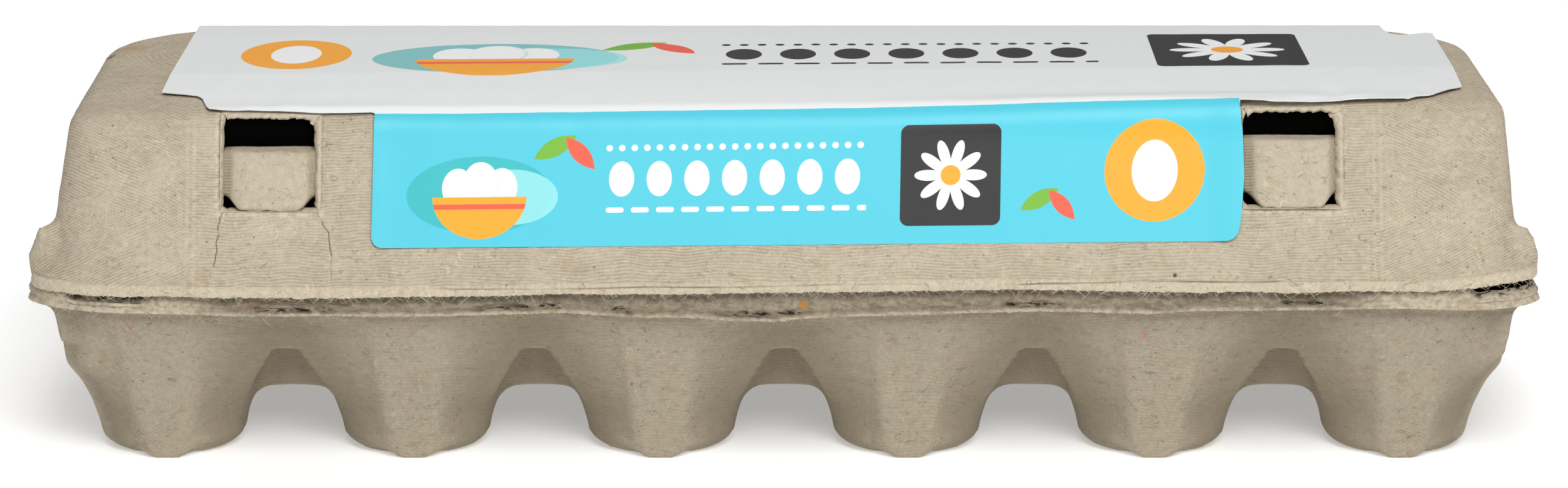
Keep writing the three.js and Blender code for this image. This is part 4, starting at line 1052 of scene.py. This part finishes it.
def bowl_of_eggs(ink, cx, cy, k):
    """Three white eggs in an orange bowl, in front of a hill."""
    ink = paint(ink, PRINT_TEAL, oval(x, y, cx, cy + 1.0 * k, 14 * k, 7.5 * k) * 0.75)
    ink = paint(ink, PRINT_PALE, oval(x, y, cx + 6 * k, cy + 0.5 * k, 9 * k, 5.4 * k) * 0.8)
    for aside in (-4.2 * k, 4.2 * k):
        ink = paint(ink, PRINT_WHITE, oval(x, y, cx + aside, cy + 2.4 * k, 3.0 * k, 3.8 * k))
    ink = paint(ink, (0.70, 0.73, 0.74), oval(x, y, cx + 0.2 * k, cy + 3.0 * k, 3.4 * k, 4.4 * k))
    ink = paint(ink, PRINT_WHITE, oval(x, y, cx, cy + 3.2 * k, 3.2 * k, 4.2 * k))
    brim = cy + 0.6 * k
    bowl = oval(x, y, cx, brim, 9 * k, 8.2 * k) * (1 - y.ramp(brim - 0.04, brim + 0.04))
    ink = paint(ink, PRINT_ORANGE, bowl)
    return paint(ink, PRINT_CORAL, bowl * plate(x, y, cx, cy - 1.3 * k, 12 * k, 0.5 * k, 0.1))


def daisy_panel(ink, cx, cy, hx, hy):
    """A white daisy on a black panel."""
    ink = paint(ink, PRINT_BLACK, plate(x, y, cx, cy, hx, hy, 1.6))
    ink = paint(ink, PRINT_WHITE, flower(x, y, cx, cy, hy * 0.72, 10))
    return paint(ink, PRINT_ORANGE, oval(x, y, cx, cy, hy * 0.2, hy * 0.2))


def leaves(ink, cx, cy, k):
    """A sprig of two leaves."""
    ink = paint(ink, PRINT_GREEN, leaf(x, y, cx - 2.2 * k, cy + 0.6 * k, 4.6 * k, 1.7 * k, 0.5))
    return paint(ink, PRINT_CORAL, leaf(x, y, cx + 2.6 * k, cy - 0.6 * k, 4.2 * k, 1.6 * k, 2.3))


def egg_rows(ink, left, right, cy, k, colour):
    """A row of small eggs between a row of dots and a row of dashes."""
    middle, half = (left + right) / 2, (right - left) / 2
    span = plate(x, y, middle, cy, half, 40, 0.1)
    ink = paint(ink, colour, oval(repeated(x, left, 7.2 * k), y, 0, cy, 2.4 * k, 3.4 * k) * span)
    ink = paint(ink, colour, oval(repeated(x, left, 2.4 * k), y, 0, cy + 6.0 * k, 0.62 * k, 0.62 * k) * span)
    dashes = plate(repeated(x, left, 4.8 * k), y, 0, cy - 6.0 * k, 1.7 * k, 0.5 * k, 0.45 * k)
    return paint(ink, colour, dashes * span)


ink = bowl_of_eggs(ink, -58.5, -17.0, 1.0)
ink = leaves(ink, -42.0, -7.5, 1.0)
ink = egg_rows(ink, -35.0, 15.4, -13.2, 1.0, PRINT_WHITE)
ink = daisy_panel(ink, 31.5, -13.2, 9.6, 9.6)
ink = leaves(ink, 50.5, -18.5, 0.9)
ink = paint(ink, PRINT_ORANGE, oval(x, y, 70.5, -12.8, 9.6, 9.6))
ink = paint(ink, PRINT_WHITE, oval(x, y, 70.5, -12.8, 4.4, 5.8))
ink = paint(ink, PRINT_ORANGE, oval(x, y, -98.0, 42, 11.0, 13.0))
ink = paint(ink, PRINT_WHITE, oval(x, y, -98.0, 42, 5.0, 8.0))
ink = bowl_of_eggs(ink, -58.0, 36.0, 1.75)
ink = leaves(ink, -27.0, 47.0, 1.6)
ink = egg_rows(ink, -14.0, 61.6, 40.0, 1.5, PRINT_BLACK)
ink = daisy_panel(ink, 88.0, 42.0, 15.0, 16.0)
paper_grain = label_finish.grain(paper_place, 1500, 3)
label_finish.surfaced(
    Base_Color=ink, Roughness=0.45, Specular_IOR_Level=0.4,
    Normal=label_finish.bumped(paper_grain, 0.03 * MM, 0.25))
label.data.materials.clear()
label.data.materials.append(label_finish.material)
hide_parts("label")
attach(label, "root")

# The table it stands on, the studio's lights and the camera that took the picture.
bpy.ops.mesh.primitive_plane_add(size=8, location=(0, 0, 0))
floor = bpy.context.object
floor.name = floor.data.name = "studio_floor"
floor_finish = Finish("studio_floor")
floor_finish.surfaced(
    Base_Color=(0.86, 0.86, 0.86, 1), Roughness=0.8, Emission_Color=(1, 1, 1, 1), Emission_Strength=0.34)
floor.data.materials.append(floor_finish.material)
floor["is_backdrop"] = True

world = bpy.data.worlds.new("studio")
bpy.context.scene.world = world
world.use_nodes = True
world.node_tree.nodes["Background"].inputs["Color"].default_value = (1, 1, 1, 1)
world.node_tree.nodes["Background"].inputs["Strength"].default_value = 0.25


def softbox(name, place, aim, size, power):
    light = bpy.data.lights.new(name, "AREA")
    light.shape = "SQUARE"
    light.size = size
    light.energy = power
    lamp = placed(name, light)
    lamp.location = place
    lamp.rotation_euler = (Vector(aim) - Vector(place)).to_track_quat("-Z", "Y").to_euler()


softbox("key_softbox", (0.2, -0.93, 1.0), (0, 0, 0.04), 0.7, 16.0)
softbox("back_softbox", (-0.3, 0.9, 1.3), (0, 0, 0.05), 0.9, 5.5)

CAMERA_TILT = math.radians(16.5)
CAMERA_DISTANCE = 0.9356
CAMERA_AIM_Y, CAMERA_AIM_Z = -0.050, 0.04755
PHOTO_WIDTH, FOCAL_PIXELS, SENSOR_WIDTH = 2498, 7800, 36
camera = placed("camera", bpy.data.cameras.new("camera"))
camera.data.sensor_fit = "HORIZONTAL"
camera.data.sensor_width = SENSOR_WIDTH
camera.data.lens = FOCAL_PIXELS / PHOTO_WIDTH * SENSOR_WIDTH
camera.data.clip_start = 0.01
camera.location = (0, CAMERA_AIM_Y - CAMERA_DISTANCE * math.cos(CAMERA_TILT),
                   CAMERA_AIM_Z + CAMERA_DISTANCE * math.sin(CAMERA_TILT))
camera.rotation_euler = (math.pi / 2 - CAMERA_TILT, 0, 0)
bpy.context.scene.camera = camera
bpy.context.scene.view_settings.view_transform = "Standard"

low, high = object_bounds()
